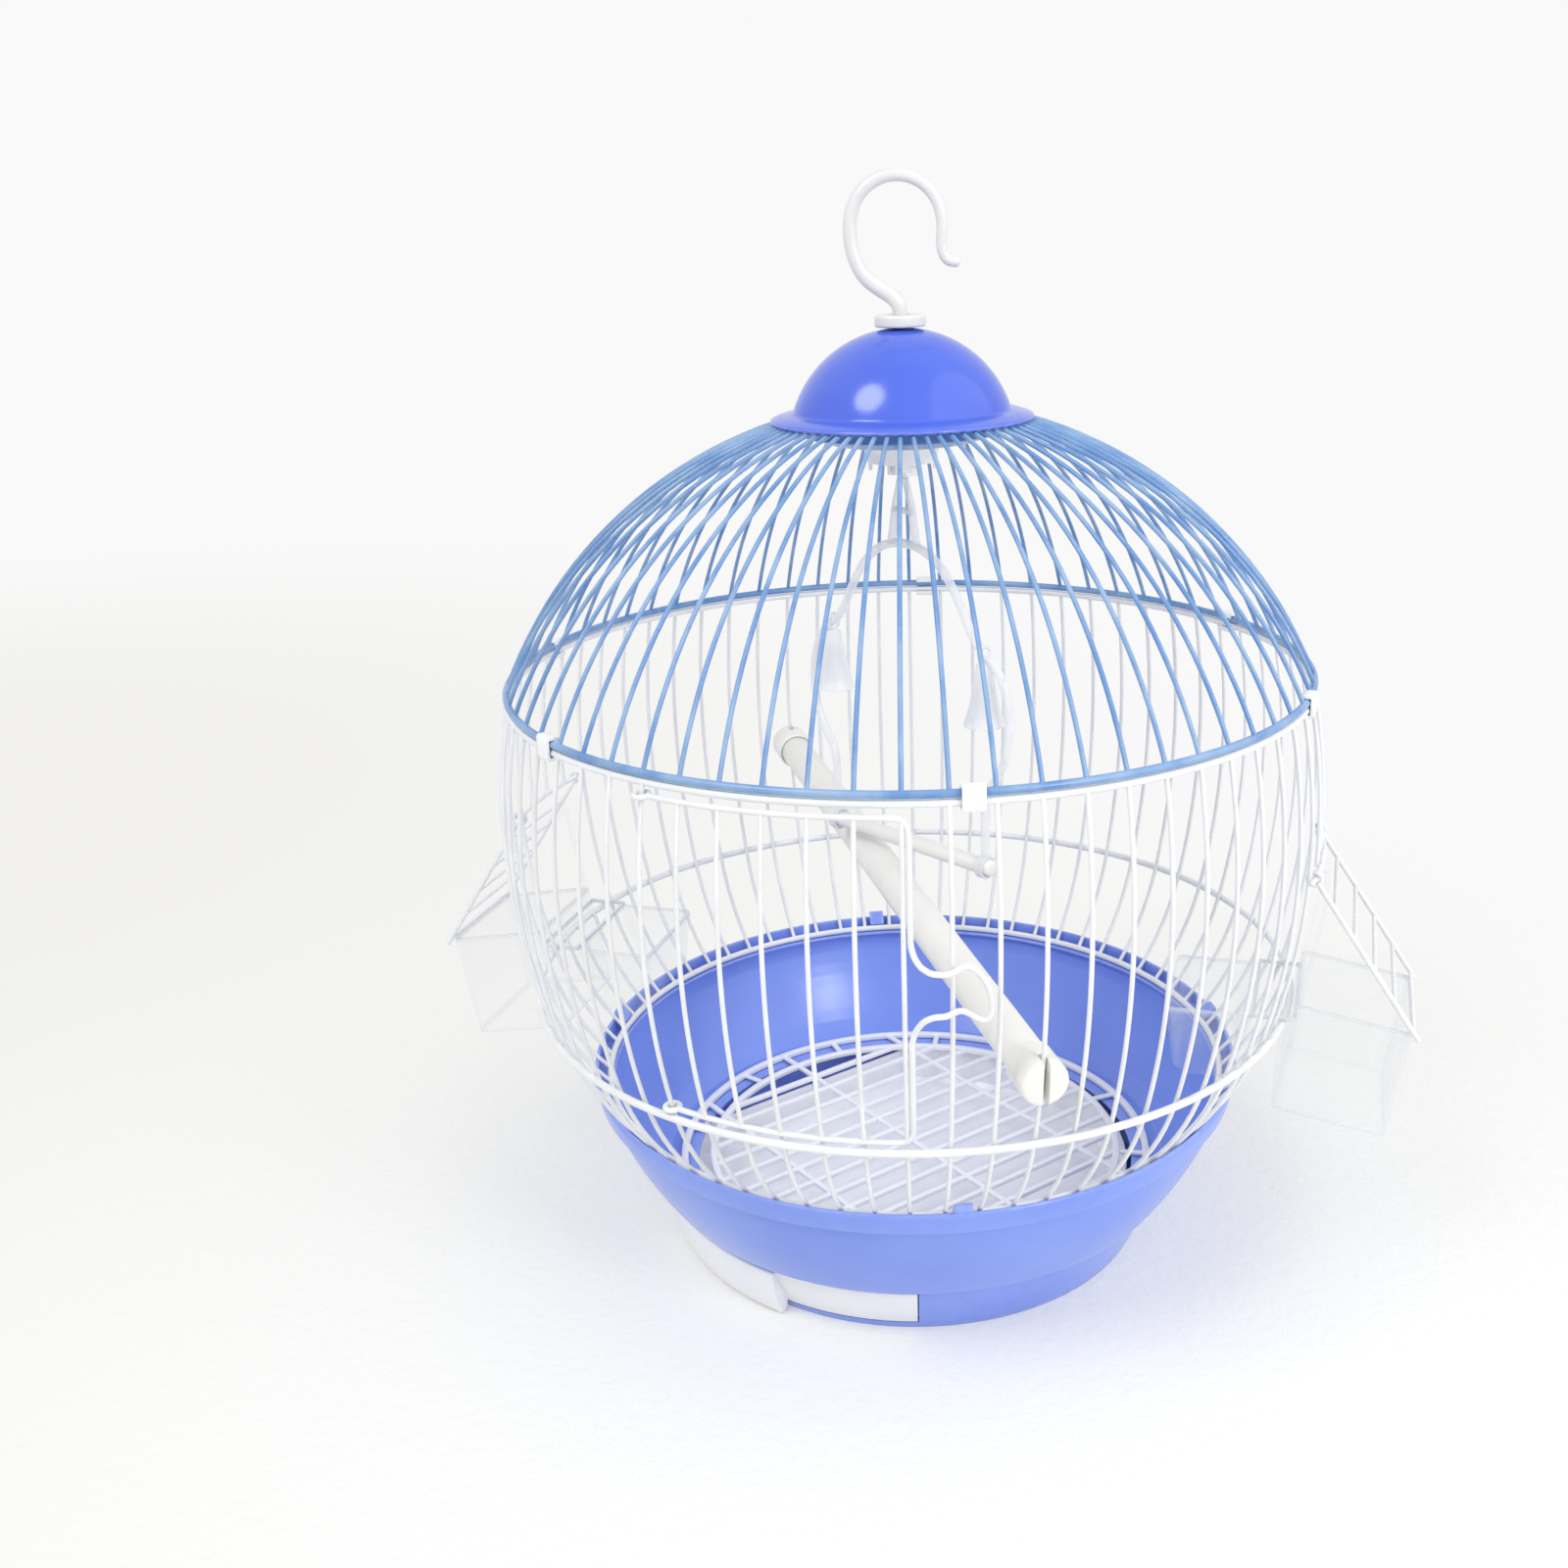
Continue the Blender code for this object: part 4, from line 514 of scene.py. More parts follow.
# the litter drawer in the skirt's slot: a tray, the band that closes the slot, and the flared grip
drawer = {"azimuth": -52.0, "slot": 52.5, "halfWidth": 0.0798, "back": 0.097, "wall": 0.0016, "sideGap": 0.3,
          "frontInset": 0.0012, "cove": 0.002, "grip": 21.0, "gripReach": 0.0066, "gripFoot": 0.0022}


# the skirt's outer radius: a straight taper from the foot to the ledge
def skirtRadius(height):
    return base["foot"] + (base["skirt"] - base["foot"]) * height / base["ledge"]


def makeBase():
    wall, bandFoot = base["wall"], base["rimHeight"] - base["band"]
    underLedge = base["ledge"] - wall
    shelf = cage["footHeight"] - cage["hoopWire"] / 2 - cage["gap"]
    t = np.linspace(0, 1, 9)
    bowl = np.stack([base["shoulder"] + (base["bowl"] - base["shoulder"]) * t + base["bulge"] * 4 * t * (1 - t),
                     base["shoulderHeight"] + (bandFoot - base["shoulderHeight"]) * t], 1)
    inside = bowl[::-1] - [wall, 0]
    inside[0] = base["bowl"] - wall, shelf - base["shelfWall"]
    rimIn, soft = base["shelfBore"] + base["seat"], cage["gap"]
    outline = np.concatenate([
        [(skirtRadius(underLedge), underLedge), (skirtRadius(underLedge + 0.001), underLedge + 0.001)], bowl,
        [(base["bowl"] + 0.0004, bandFoot + soft), (base["rim"] - 0.0014, bandFoot + 0.0004),
         (base["rim"], base["rimHeight"] - 0.0016), (base["rim"] - 2 * soft, base["rimHeight"]),
         (rimIn, base["rimHeight"]), (rimIn, shelf), (base["shelfBore"], shelf),
         (base["shelfBore"], shelf - base["shelfWall"])], inside[:-1],
        [(base["shoulder"] - 2 * wall, base["ledge"]), (base["ledgeBore"], base["ledge"]),
         (base["ledgeBore"], underLedge)]])
    shell = carriedRound(rounded(outline, base["corner"], 5), base["sides"])
    foot = base["foot"] - base["footWidth"]
    pan = spun([(foot, base["footLift"]), (foot, soft), (foot + soft, 0.0), (base["foot"] - soft, 0.0),
                (base["foot"], soft), (skirtRadius(base["floor"]), base["floor"]), (base["floorRow"], base["floor"])],
               base["sides"])
    slot = drawer["slot"]
    skirt = [(skirtRadius(base["floor"]) - wall, base["floor"]), (skirtRadius(base["floor"]), base["floor"]),
             (skirtRadius(underLedge), underLedge), (skirtRadius(underLedge) - wall, underLedge)]
    skirt = carriedRound(skirt, 136, drawer["azimuth"] + slot, 360 - 2 * slot)
    hoop, head = cage["footHeight"] + cage["hoopWire"] / 2, base["rimHeight"] + base["tabRise"]
    tip = cage["footRadius"] + cage["gap"]
    outline = [(rimIn + 0.001, base["rimHeight"] - 0.0012), (rimIn + 0.001, head), (rimIn - 0.0012, head),
               (tip, hoop + 3 * cage["gap"]), (tip, hoop + cage["gap"]),
               (rimIn - (rimIn - tip) * 0.4, hoop + cage["gap"])]
    tabs = [block(rounded(outline, base["corner"] / 2, 3), barAzimuth(number), base["tabWidth"] / 2)
            for number in base["tabBars"]]
    makePiece("base", [shell, pan, skirt, *tabs], plastic["bluePolypropylene"], "cage",
              ["base_bowl"])


# the tray's plan at an inset: an arc at the back, straight sides, and the skirt's own arc in front
def trayPlan(inset, frontRadius, height, steps=24):
    half, back = drawer["halfWidth"] - inset, drawer["back"] - inset
    rear = np.degrees(np.arcsin(half / back)) * np.linspace(1, -1, steps)
    front = np.degrees(np.arcsin(half / (frontRadius - inset))) * np.linspace(-1, 1, steps)
    return np.concatenate([around(drawer["azimuth"] + 180 + rear[::-1], back, height),
                           around(drawer["azimuth"] + front, frontRadius - inset, height)])


def makeDrawer():
    low = base["floor"] + cage["gap"]
    high = base["ledge"] - base["wall"] - cage["gap"]
    wall, cove, corner = drawer["wall"], drawer["cove"], 0.0006
    rows = [(corner, low), (0.0, low + corner), (0.0, high - corner / 2), (0.0004, high), (wall - 0.0004, high),
            (wall, high - 0.0004), (wall, low + wall + cove), (wall + cove, low + wall)]
    tray = skin(np.stack([trayPlan(inset, skirtRadius(height) - drawer["frontInset"], height)
                          for inset, height in rows]))
    reach = drawer["slot"] - drawer["sideGap"]
    band = rounded([(skirtRadius(low) - wall, low), (skirtRadius(low), low), (skirtRadius(high), high),
                    (skirtRadius(high) - wall, high)], cage["gap"], 3)
    band = carriedRound(band, 60, drawer["azimuth"] - reach, 2 * reach)
    front, out = base["foot"] + drawer["gripFoot"], drawer["gripReach"]
    grip = [(front, 0.001), (front + out * 0.8, 0.001), (skirtRadius(0.008) + out, 0.008),
            (skirtRadius(0.016) + out * 0.7, 0.016), (skirtRadius(high) + 0.002, high),
            (skirtRadius(high) - 0.001, high), (skirtRadius(0.006) - 0.001, 0.006), (front, 0.0052)]
    grip = carriedRound(rounded(grip, 0.002, 5), 36, drawer["azimuth"] - drawer["grip"], 2 * drawer["grip"])
    # the tray's white is partly its own colour and partly painted light against the grate's shade
    makePiece("drawer", [tray], plastic["trayWhiteAndPaintedLight"], "drawer", ["drawer_tray"])
    makePiece("drawer_front", [band, grip], plastic["whitePolypropylene"], "drawer",
              ["drawer_tray"], bevel=0.0003)


# the floor grate: two rings, rows of bars both ways inside the inner one, and short spokes outside it
grate = {"radius": 0.107, "thick": 0.0026, "ring": 0.0032, "bar": 0.0026, "step": 0.013, "slot": 0.010,
         "cross": (-0.056, -0.001, 0.054), "spokes": 12, "rowSink": 0.0002, "crossSink": 0.0004, "spokeSink": 0.0006,
         "edge": 0.004}


def makeGrate():
    low = base["ledge"] + cage["gap"]
    high = low + grate["thick"]
    inner = grate["radius"] - grate["ring"] - grate["slot"]
    level, onInner, onOuter = (low + high) / 2, inner - grate["ring"] / 2, grate["radius"] - grate["ring"] / 2

    def ring(radius):
        return carriedRound(box((radius - grate["ring"], low), (radius, high), 0.0007, 4), 160)

    # bars between two rows of points, each sunk a little below the faces of the rings
    def rods(starts, ends, sink, corner):
        deep, wide = grate["thick"] / 2 - sink, grate["bar"] / 2
        return straightBars(starts, ends, box((-wide, -deep), (wide, deep), corner, 4), [0, 0, 1], 0.0001)

    def across(offset, azimuth, reach, sink):
        offset = np.asarray(offset, float)[:, None]
        half = outward(azimuth) * np.sqrt(reach ** 2 - offset ** 2)
        middle = sideways(azimuth) * offset + [0, 0, level]
        return rods(middle - half, middle + half, sink, 0.0006)

    count = int((inner - grate["edge"]) / grate["step"])
    rows = across(np.arange(-count, count + 1) * grate["step"], drawer["azimuth"], onInner, grate["rowSink"])
    cross = across(grate["cross"], drawer["azimuth"] + 90, onOuter, grate["crossSink"])
    azimuth = drawer["azimuth"] + (np.arange(grate["spokes"]) + 0.5) * 360 / grate["spokes"]
    spokes = rods(around(azimuth, onInner, level), around(azimuth, onOuter, level), grate["spokeSink"], 0.0005)
    makePiece("grate", [ring(grate["radius"]), ring(inner), rows, cross, spokes], plastic["whitePolypropylene"],
              "cage", ["floor_grate"])


# the latch wire's path: bar steps right of the jamb, half heights over its middle, share of the standoff
door = {"top": 0.2454, "bottom": 0.1215, "corner": 0.006, "eye": 0.0027, "jamb": 0.0023, "standoff": 0.0027,
        "latch": 0.182, "latchHalf": 0.0095,
        "path": ((0, 2.6, 0), (0, 2.1, 0), (0.06, 1.7, 0.2), (0.19, 1.34, 0.6), (0.4, 1.13, 1), (0.66, 1.07, 1),
                 (0.84, 1.12, 1), (0.98, 1.3, 1), (1.14, 1.4, 1), (1.37, 1.13, 1), (1.55, 0.62, 1), (1.64, 0, 1),
                 (1.64, -0.55, 1), (1.53, -0.85, 1), (1.32, -0.68, 1), (1.13, -0.42, 1), (0.98, -0.34, 1),
                 (0.86, -0.44, 1), (0.7, -0.58, 1), (0.46, -0.58, 1), (0.25, -0.79, 0.65), (0.09, -1.2, 0.3),
                 (0, -1.74, 0), (0, -2.4, 0))}


# the door: one frame wire with the latch loop bent into it, its uprights, and an eye at each corner
# of the hinge side
def makeDoor():
    hinge = barAzimuth(-cage["doorBars"])
    right = barAzimuth(0) + np.degrees(door["jamb"] / barrelRadius(door["latch"]))
    start = hinge + np.degrees(door["eye"] / barrelRadius(door["top"]))
    latch = np.array(door["path"]) * [360 / cage["bars"], door["latchHalf"], door["standoff"]]
    corners = np.concatenate([[(start, door["top"], 0), (right, door["top"], 0)],
                              latch + [right, door["latch"], 0],
                              [(right, door["bottom"], 0), (start, door["bottom"], 0)]])
    degree = np.radians(1) * 0.171            # one degree along the barrel, in metres
    cut = np.full(len(corners), 0.0015)
    cut[[1, -2]] = door["corner"]
    line = evenly(rounded(corners * [degree, 1, 1], cut, 8, line=True), 260)
    azimuth = line[:, 0] / degree
    path, radius = withEnds(onBarrel(azimuth, line[:, 1], line[:, 2]), cage["doorWire"] / 2)
    up = np.concatenate([[outward(azimuth[0])] * 4, outward(azimuth), [outward(azimuth[-1])] * 4])
    frameWire = tube(path, radius, up, 12)
    azimuth = barAzimuth(np.arange(-cage["doorBars"] + 1, 1))[:, None]
    uprights = tube(onBarrel(azimuth, np.linspace(door["bottom"], door["top"], 24)), cage["barWire"] / 2,
                    sideways(azimuth), 10)
    foot, head = onBarrel(hinge, door["bottom"]), onBarrel(hinge, door["top"])
    axis = unit(head - foot)
    eyes = [ringOf(point, door["eye"], axis, cage["doorWire"] / 2) for point in (foot, head)]
    makePiece("door", [frameWire, uprights, *eyes], wire["whitePvcCoat"], "door", ["wire_door"])


# a small ring of wire about an axis
def ringOf(centre, radius, axis, wireRadius, steps=28, sides=10):
    axis = unit(np.asarray(axis, float))
    first = unit(np.cross(axis, [0.3, 0.5, 0.81]))
    other = np.cross(axis, first)
    turn = np.linspace(0, 2 * np.pi, steps, endpoint=False)[:, None]
    return tube(centre + (first * np.cos(turn) + other * np.sin(turn)) * radius, wireRadius, axis, sides, True)


# a feeder: a wire flap of two rails and five rungs, and a clear cup of bin, bridge, plate and scoop
flap = {"half": 0.0295, "rungs": 5, "eye": 0.0026, "overhang": 0.004, "clearance": 0.0006}
cup = {"half": 0.028, "tilt": 10.0, "depth": 0.046, "height": 0.0485, "wall": 0.0016, "rise": 0.0095,
       "frame": 0.005, "frameCorner": 0.003, "scoopBack": 0.150, "scoopReach": 0.036, "scoopFloor": 0.091,
       "binCorner": 0.0032, "scoopLean": 0.004}


# the bin's upper back corner (radius, height), the resting flap's slope and length with its last
# rung just over the bin's outer wall, and how far the back plate can rise below it
def feederShape(reach):
    tilt, rod = np.radians(cup["tilt"]), cage["barWire"] / 2
    hoop = barrelRadius(cage["middle"]) + rod + cage["ringWire"] / 2 + cage["gap"]
    off = (cage["ringWire"] / 2 + cage["gap"]) / np.cos(tilt) + cup["rise"] * np.tan(tilt)
    corner = np.array([hoop / np.cos(np.pi / cage["bars"]) + off, cage["middle"] + cup["rise"]])
    out, up = reach - corner[0], cage["feederTop"] - corner[1]
    along, height = out * np.cos(tilt) - up * np.sin(tilt), out * np.sin(tilt) + up * np.cos(tilt)
    run, fall = cup["depth"] - cup["wall"] / 2 - along, height - rod - cage["gap"]
    lean = np.arctan2(fall, run)
    plate = height - (cup["wall"] - along) * np.tan(lean) - (rod + flap["clearance"]) / np.cos(lean)
    return corner, tilt + lean, np.hypot(run, fall), plate


def makeFeeder(which, middleBar):
    azimuth = barAzimuth(middleBar)
    out, side, up = outward(azimuth), sideways(azimuth), np.array([0, 0, 1.0])
    header = barrelRadius(cage["feederTop"]) + cage["barWire"] / 2 + cage["doorWire"] / 2 - cage["weld"]
    reach = np.sqrt(header ** 2 - flap["half"] ** 2)
    corner, slope, length, plateRise = feederShape(reach)
    tilt = np.radians(cup["tilt"])
    pivot = out * reach + up * cage["feederTop"]
    down = out * np.cos(slope) - up * np.sin(slope)
    parts = []
    for s in (-1, 1):
        end = pivot + side * s * flap["half"]
        rail = end + down * np.linspace(flap["eye"] - 0.0002, length + flap["overhang"] - 0.0007, 12)[:, None]
        path, radius = withEnds(rail, cage["doorWire"] / 2)
        parts += [tube(path, radius, side, 10), ringOf(end, flap["eye"], side, cage["barWire"] / 2)]
    level = down * (length / flap["rungs"] * np.arange(1, flap["rungs"] + 1))[:, None, None]
    across = side * (flap["half"] - 0.0003) * np.linspace(-1, 1, 8)[:, None]
    parts.append(tube(pivot + across + level, cage["barWire"] / 2, np.cross(side, down), 10))
    makePiece(f"flap_{which}", parts, wire["whitePvcCoat"], f"flap_{which}",
              [f"feeder_flap_{which}"])

    half, wall, depth = cup["half"], cup["wall"], cup["depth"]
    outTilted, upTilted = out * np.cos(tilt) - up * np.sin(tilt), out * np.sin(tilt) + up * np.cos(tilt)
    back, foot = out * corner[0] + up * corner[1], -cup["height"]
    # each row: how far it is drawn in, its height, and the radius of its corners
    bend = cup["binCorner"]
    rows = [(0.0012, foot, bend - 0.0012), (0.0003, foot + 0.0004, bend - 0.0003), (0, foot + 0.0014, bend),
            (0, -0.0005, bend), (0.0004, 0, bend - 0.0004), (wall - 0.0004, 0, 0.002), (wall, -0.0005, bend / 2),
            (wall, foot + wall + 0.0012, bend / 2), (wall + 0.001, foot + wall, 0.001)]
    binPart = vessel([(inset, depth - inset, half - inset, height, corner) for inset, height, corner in rows],
                     back, outTilted, side, upTilted)
    low = cage["middle"] + cage["ringWire"] / 2 + cage["gap"]
    high = low + wall
    near, far = cup["scoopBack"] - 0.001, corner[0] - 0.0002
    flat = [near, near + 0.002, far - 0.002, far]
    bridge = [(radius, low) for radius in flat] + [(radius, high) for radius in flat[::-1]]
    bridge = block(rounded(bridge, cage["gap"], 3), azimuth, half - 0.0005)
    plate = windowFrame((half - 0.0002, -0.003, plateRise, cup["frameCorner"]),
                        (half - cup["frame"], 0.001, plateRise - cup["frame"], 0.002),
                        back + outTilted * 0.0001, side, upTilted, outTilted * (wall - 0.0003))
    rear, floor, wide, lean = cup["scoopBack"], cup["scoopFloor"], half - 0.0008, cup["scoopLean"]
    lip = rear - cup["scoopReach"]
    rows = [(lip + 0.009, rear - 0.009, wide - 0.001, floor, 0.002),
            (lip + lean, rear - 0.0078, wide, floor + 0.003, 0.003),
            (lip + 0.0003, rear - 0.0002, wide, high - 0.0016, 0.003),
            (lip + 0.0003, rear, wide - 0.0003, high - 0.0012, 0.0027),
            (lip + wall, rear - 0.0012, wide - wall, high - 0.0012, 0.0014),
            (lip + lean + wall, rear - 0.0092, wide - wall, floor + 0.0045, 0.0014),
            (lip + 0.0105, rear - 0.0112, wide - wall - 0.0008, floor + wall, 0.001)]
    parts = [binPart, bridge, plate, vessel(rows, np.zeros(3), out, side, up)]
    makePiece(f"cup_{which}", parts, plastic["clearPolystyrene"], "cage", [f"feeder_cup_{which}"])


# the cap, the plate that clamps the wires from below, and the holder that plugs into the cap's boss
cap = {"radius": 0.0435, "rise": 0.0315, "top": 0.389961, "flange": 0.0525, "wall": 0.0018, "crown": 0.0026,
       "boss": 0.0115, "bossWall": 0.0022, "bossLift": 0.0014, "plate": 0.042, "plateFloor": 0.346164,
       "plateFlat": 0.030, "retainer": 0.020, "holderBore": 0.0122, "holderDrop": 0.008, "tabFoot": 0.011,
       "tabHalf": 0.003, "lean": (0.165, 0.147, 0.120, 0.088, 0.054, 0.034)}
# the hook's limb and curl are in loop radii from the loop's centre
hook = {"shank": 0.0028, "collar": 0.0102, "collarThick": 0.0046, "collarCorner": 0.0012, "radius": 0.0179,
        "centre": (-0.0011, 0.42886), "button": 0.005, "buttonThick": 0.0038, "wire": 0.0062, "tip": 0.0040,
        "limb": ((0.061, -1.81), (0.015, -1.64), (-0.14, -1.49), (-0.36, -1.36), (-0.6, -1.19), (-0.78, -0.98),
                 (-0.915, -0.68), (-0.985, -0.36)),
        "curl": ((0.985, -0.3), (0.978, -0.51), (1.03, -0.7), (1.145, -0.815), (1.29, -0.83))}


# the dome wires' centre line as the CAD has it, straight between its bends
def domeWireHeight(radius):
    bends = np.array(cap["lean"])[::-1]
    return np.interp(radius, bends, domeHeight(bends))


# how far a face has to stay off the dome wires' centre line, measured straight up
def wireLift():
    far, near = cap["lean"][-2:]
    slope = (domeHeight(near) - domeHeight(far)) / (far - near)
    return (cage["barWire"] / 2 + cage["gap"]) * np.hypot(1.0, slope)


# the cap's shell with its flange and hollow boss, then the plate under the wires
def makeCap():
    wall, lift, radius, rise = cap["wall"], wireLift(), cap["radius"], cap["rise"]
    edge, crown = domeWireHeight(cap["flange"]) + lift, cap["top"] - cap["crown"]
    bossFoot = cap["plateFloor"] + cap["bossLift"]
    curve = (radius ** 2 + rise ** 2) / (2 * rise)
    centre = cap["top"] - curve
    turn = np.linspace(np.arcsin(1 - rise / curve) + 0.01, np.arccos(hook["collar"] / 2 / curve), 26)
    dome = np.stack([curve * np.cos(turn), centre + curve * np.sin(turn)], 1)
    inner = np.stack([(curve - wall) * np.cos(turn), centre + (curve - wall) * np.sin(turn)], 1)
    inner = inner[inner[:, 0] > cap["boss"] + wall]
    joint = centre + np.sqrt((curve - wall) ** 2 - cap["boss"] ** 2)
    bore, hollow = hook["shank"] + cage["gap"], cap["boss"] - cap["bossWall"]
    shoulder = domeWireHeight(radius + 0.0025) + lift + wall
    outline = np.concatenate([
        [(cap["flange"] - 0.0003, edge), (cap["flange"] + 0.0003, edge + wall / 2),
         (cap["flange"] - 0.0006, edge + wall),
         (radius + 0.0045, domeWireHeight(radius + 0.0045) + lift + wall + 0.0001),
         (radius + 0.0020, shoulder + 0.0001), (radius + 0.0004, shoulder + 0.0005)], dome,
        [(bore, cap["top"] - 0.0001), (bore, crown), (hollow, crown), (hollow, bossFoot), (cap["boss"], bossFoot),
         (cap["boss"], joint)], inner[::-1], [(radius - wall, domeWireHeight(radius - wall) + lift)]])
    makePiece("cap", [carriedRound(rounded(outline, 0.0006, 4), 144)], plastic["blueAbs"], "cage",
              ["dome_cap"])
    floor, plate, flat, bore = cap["plateFloor"], cap["plate"], cap["plateFlat"], cap["boss"] + cage["gap"]
    outline = [(bore, floor), (flat, floor), (plate - 0.001, floor + 0.0035), (plate, domeWireHeight(plate) - lift),
               (plate - wall, domeWireHeight(plate - wall) - lift), (plate - wall, floor + 0.005),
               (flat - 0.001, floor + wall), (bore, floor + wall)]
    # the plate's blue is darkened as painted shade for its place under the flange
    makePiece("wire_plate", [carriedRound(rounded(outline, 0.0006, 4), 128)], plastic["blueAbsWithPaintedShade"], "cage",
              ["cap_plate"])


# the arch is half of its line, as half widths from the middle and shares of its height over the bar
swing = {"azimuth": 45.0, "pivot": 0.335964, "apex": 0.304964, "barHeight": 0.17445, "half": 0.0445, "rod": 0.0036,
         "bar": 0.0070, "barOverhang": 0.004, "eye": 0.0039, "eyeHalf": 0.0028, "lug": 0.002, "lugGap": 0.0005,
         "lugHalf": 0.0036, "lugDrop": 0.0038, "pin": 0.0015, "pinHead": 0.0023, "legTop": 0.0014, "brace": 0.018,
         "padHalf": 0.002, "padWall": 0.0012, "bell": 0.0085, "bellHeight": 0.026, "bellOffset": 0.04401,
         "bellPivot": 0.265458, "bellEye": 0.0034, "bellEyeWire": 0.0006,
         "arch": ((0.27, 0.985), (0.506, 0.931), (0.697, 0.839), (0.82, 0.759), (0.921, 0.712), (1.056, 0.686),
                  (1.191, 0.636), (1.281, 0.563), (1.303, 0.479), (1.258, 0.379), (1.157, 0.307), (1.034, 0.261),
                  (1.0, 0.195), (1.0, 0.008))}


# a point in the swing's plane by its place along the bar and its height
def onSwing(along, height):
    return around(swing["azimuth"], along, height)


# a line of radius and height from its mirrored lower half to its upper half
def bothEnds(line):
    return np.concatenate([(line * [1, -1])[::-1], line])


# the holder: a collar with four snap tabs and two lugs, and the pin through them that the swing turns on
def makeRetainer():
    top = cap["plateFloor"] - cage["gap"]
    plug = cap["boss"] - cap["bossWall"] - cage["gap"]
    bore, low, wide = cap["holderBore"], top - cap["holderDrop"], cap["retainer"]
    body = spun([(bore, top - 0.002), (bore, low + 0.0002), (bore + 0.0003, low), (bore + 0.0016, low),
                 (bore + 0.0019, low + 0.0004), (bore + 0.0023, top - 0.0022), (wide - 0.0006, top - 0.0015),
                 (wide, top - 0.0009), (wide, top - 0.0003), (wide - 0.0004, top), (plug, top), (plug, top + 0.0067),
                 (plug - 0.0004, top + 0.007), (plug - 0.0015, top + 0.007), (plug - 0.0015, top)], 72)
    foot = top - cap["tabFoot"]
    tab = rounded([(bore, foot), (bore + 0.0014, foot), (bore + 0.0018, low + 0.001), (bore, low + 0.001)], 0.0004, 3)
    parts = [body] + [block(tab, swing["azimuth"] + 45 + i * 90, cap["tabHalf"]) for i in range(4)]
    foot = swing["pivot"] - swing["lugDrop"]
    for s in (-1, 1):
        middle = s * (swing["eyeHalf"] + swing["lugGap"] + swing["lug"] / 2)
        low, high = middle - swing["lug"] / 2, middle + swing["lug"] / 2
        parts.append(block(box((low, foot), (high, top - 0.001), cage["gap"]), swing["azimuth"],
                           swing["lugHalf"], 0.0005))
    makePiece("swing_holder", parts, plastic["whitePolypropylene"], "cage",
              ["cap_retainer"], bevel=0.0002)
    face = swing["eyeHalf"] + swing["lugGap"] + swing["lug"] + cage["gap"]
    pin, head = swing["pin"], swing["pinHead"]
    line = np.array([(pin, face), (head - 0.0002, face), (head, face + 0.0002), (head, face + 0.0008),
                     (head - 0.0003, face + 0.0011)])
    pinPart = laidAlong(spun(bothEnds(line), 32), onSwing(0, swing["pivot"]), onSwing(1, swing["pivot"]))
    makePiece("swing_pin_piece", [pinPart], plastic["whitePolypropylene"], "cage",
              ["swing_pin"])


# the collar, and the hook: one rod that thickens along limb, loop and curl, with a button in the boss
def makeHook():
    low, bore, slot = cap["top"] + cage["gap"], hook["shank"] + cage["gap"], "white_plastic_hook"
    high = low + hook["collarThick"]
    collar = carriedRound(box((bore, low), (hook["collar"], high), hook["collarCorner"], 6), 96)
    # the collar and the hook take the white plastic greyed as painted shade
    makePiece("collar", [collar], plastic["hookPolypropylenePaintedShade"], "cage", ["hook_collar"])
    head = cap["top"] - cap["crown"] - cage["gap"]
    turn = np.radians(np.linspace(180, 0, 11))
    ratios = np.concatenate([hook["limb"], np.stack([np.cos(turn), np.sin(turn)], 1), hook["curl"]])
    line = np.concatenate([[(0.0, head - 0.001)], ratios * hook["radius"] + hook["centre"]])
    grown = np.maximum(np.arange(len(line)) - 2, 0) / (len(line) - 3)
    thick = hook["wire"] / 2 + (hook["tip"] - hook["wire"]) / 2 * grown
    thick[:2] = hook["shank"]
    line = evenly(rounded(np.column_stack([line, thick]), 0.003, 6, line=True), 130)
    path, radius = withEnds(np.stack([line[:, 0], line[:, 0] * 0, line[:, 1]], 1), line[:, 2], 5, 0.9)
    wide, low, bore = hook["button"], head - hook["buttonThick"], 0.001
    button = spun([(bore, low), (wide - 0.0008, low), (wide, low + 0.0008), (wide, head), (bore, head)], 40)
    makePiece("hook_piece", [tube(path, radius, [0, 1, 0], 20), button], plastic["hookPolypropylenePaintedShade"], "hook",
              ["hanging_hook"])


perch = {"diameter": 0.0155, "nearBar": 3, "farBar": -29, "nearHeight": 0.146, "farHeight": 0.170,
         "capDiameter": 0.0180, "capLength": 0.016, "overhang": 0.0045, "wall": 0.0015, "grip": 0.0047,
         "capFloor": 0.0033}


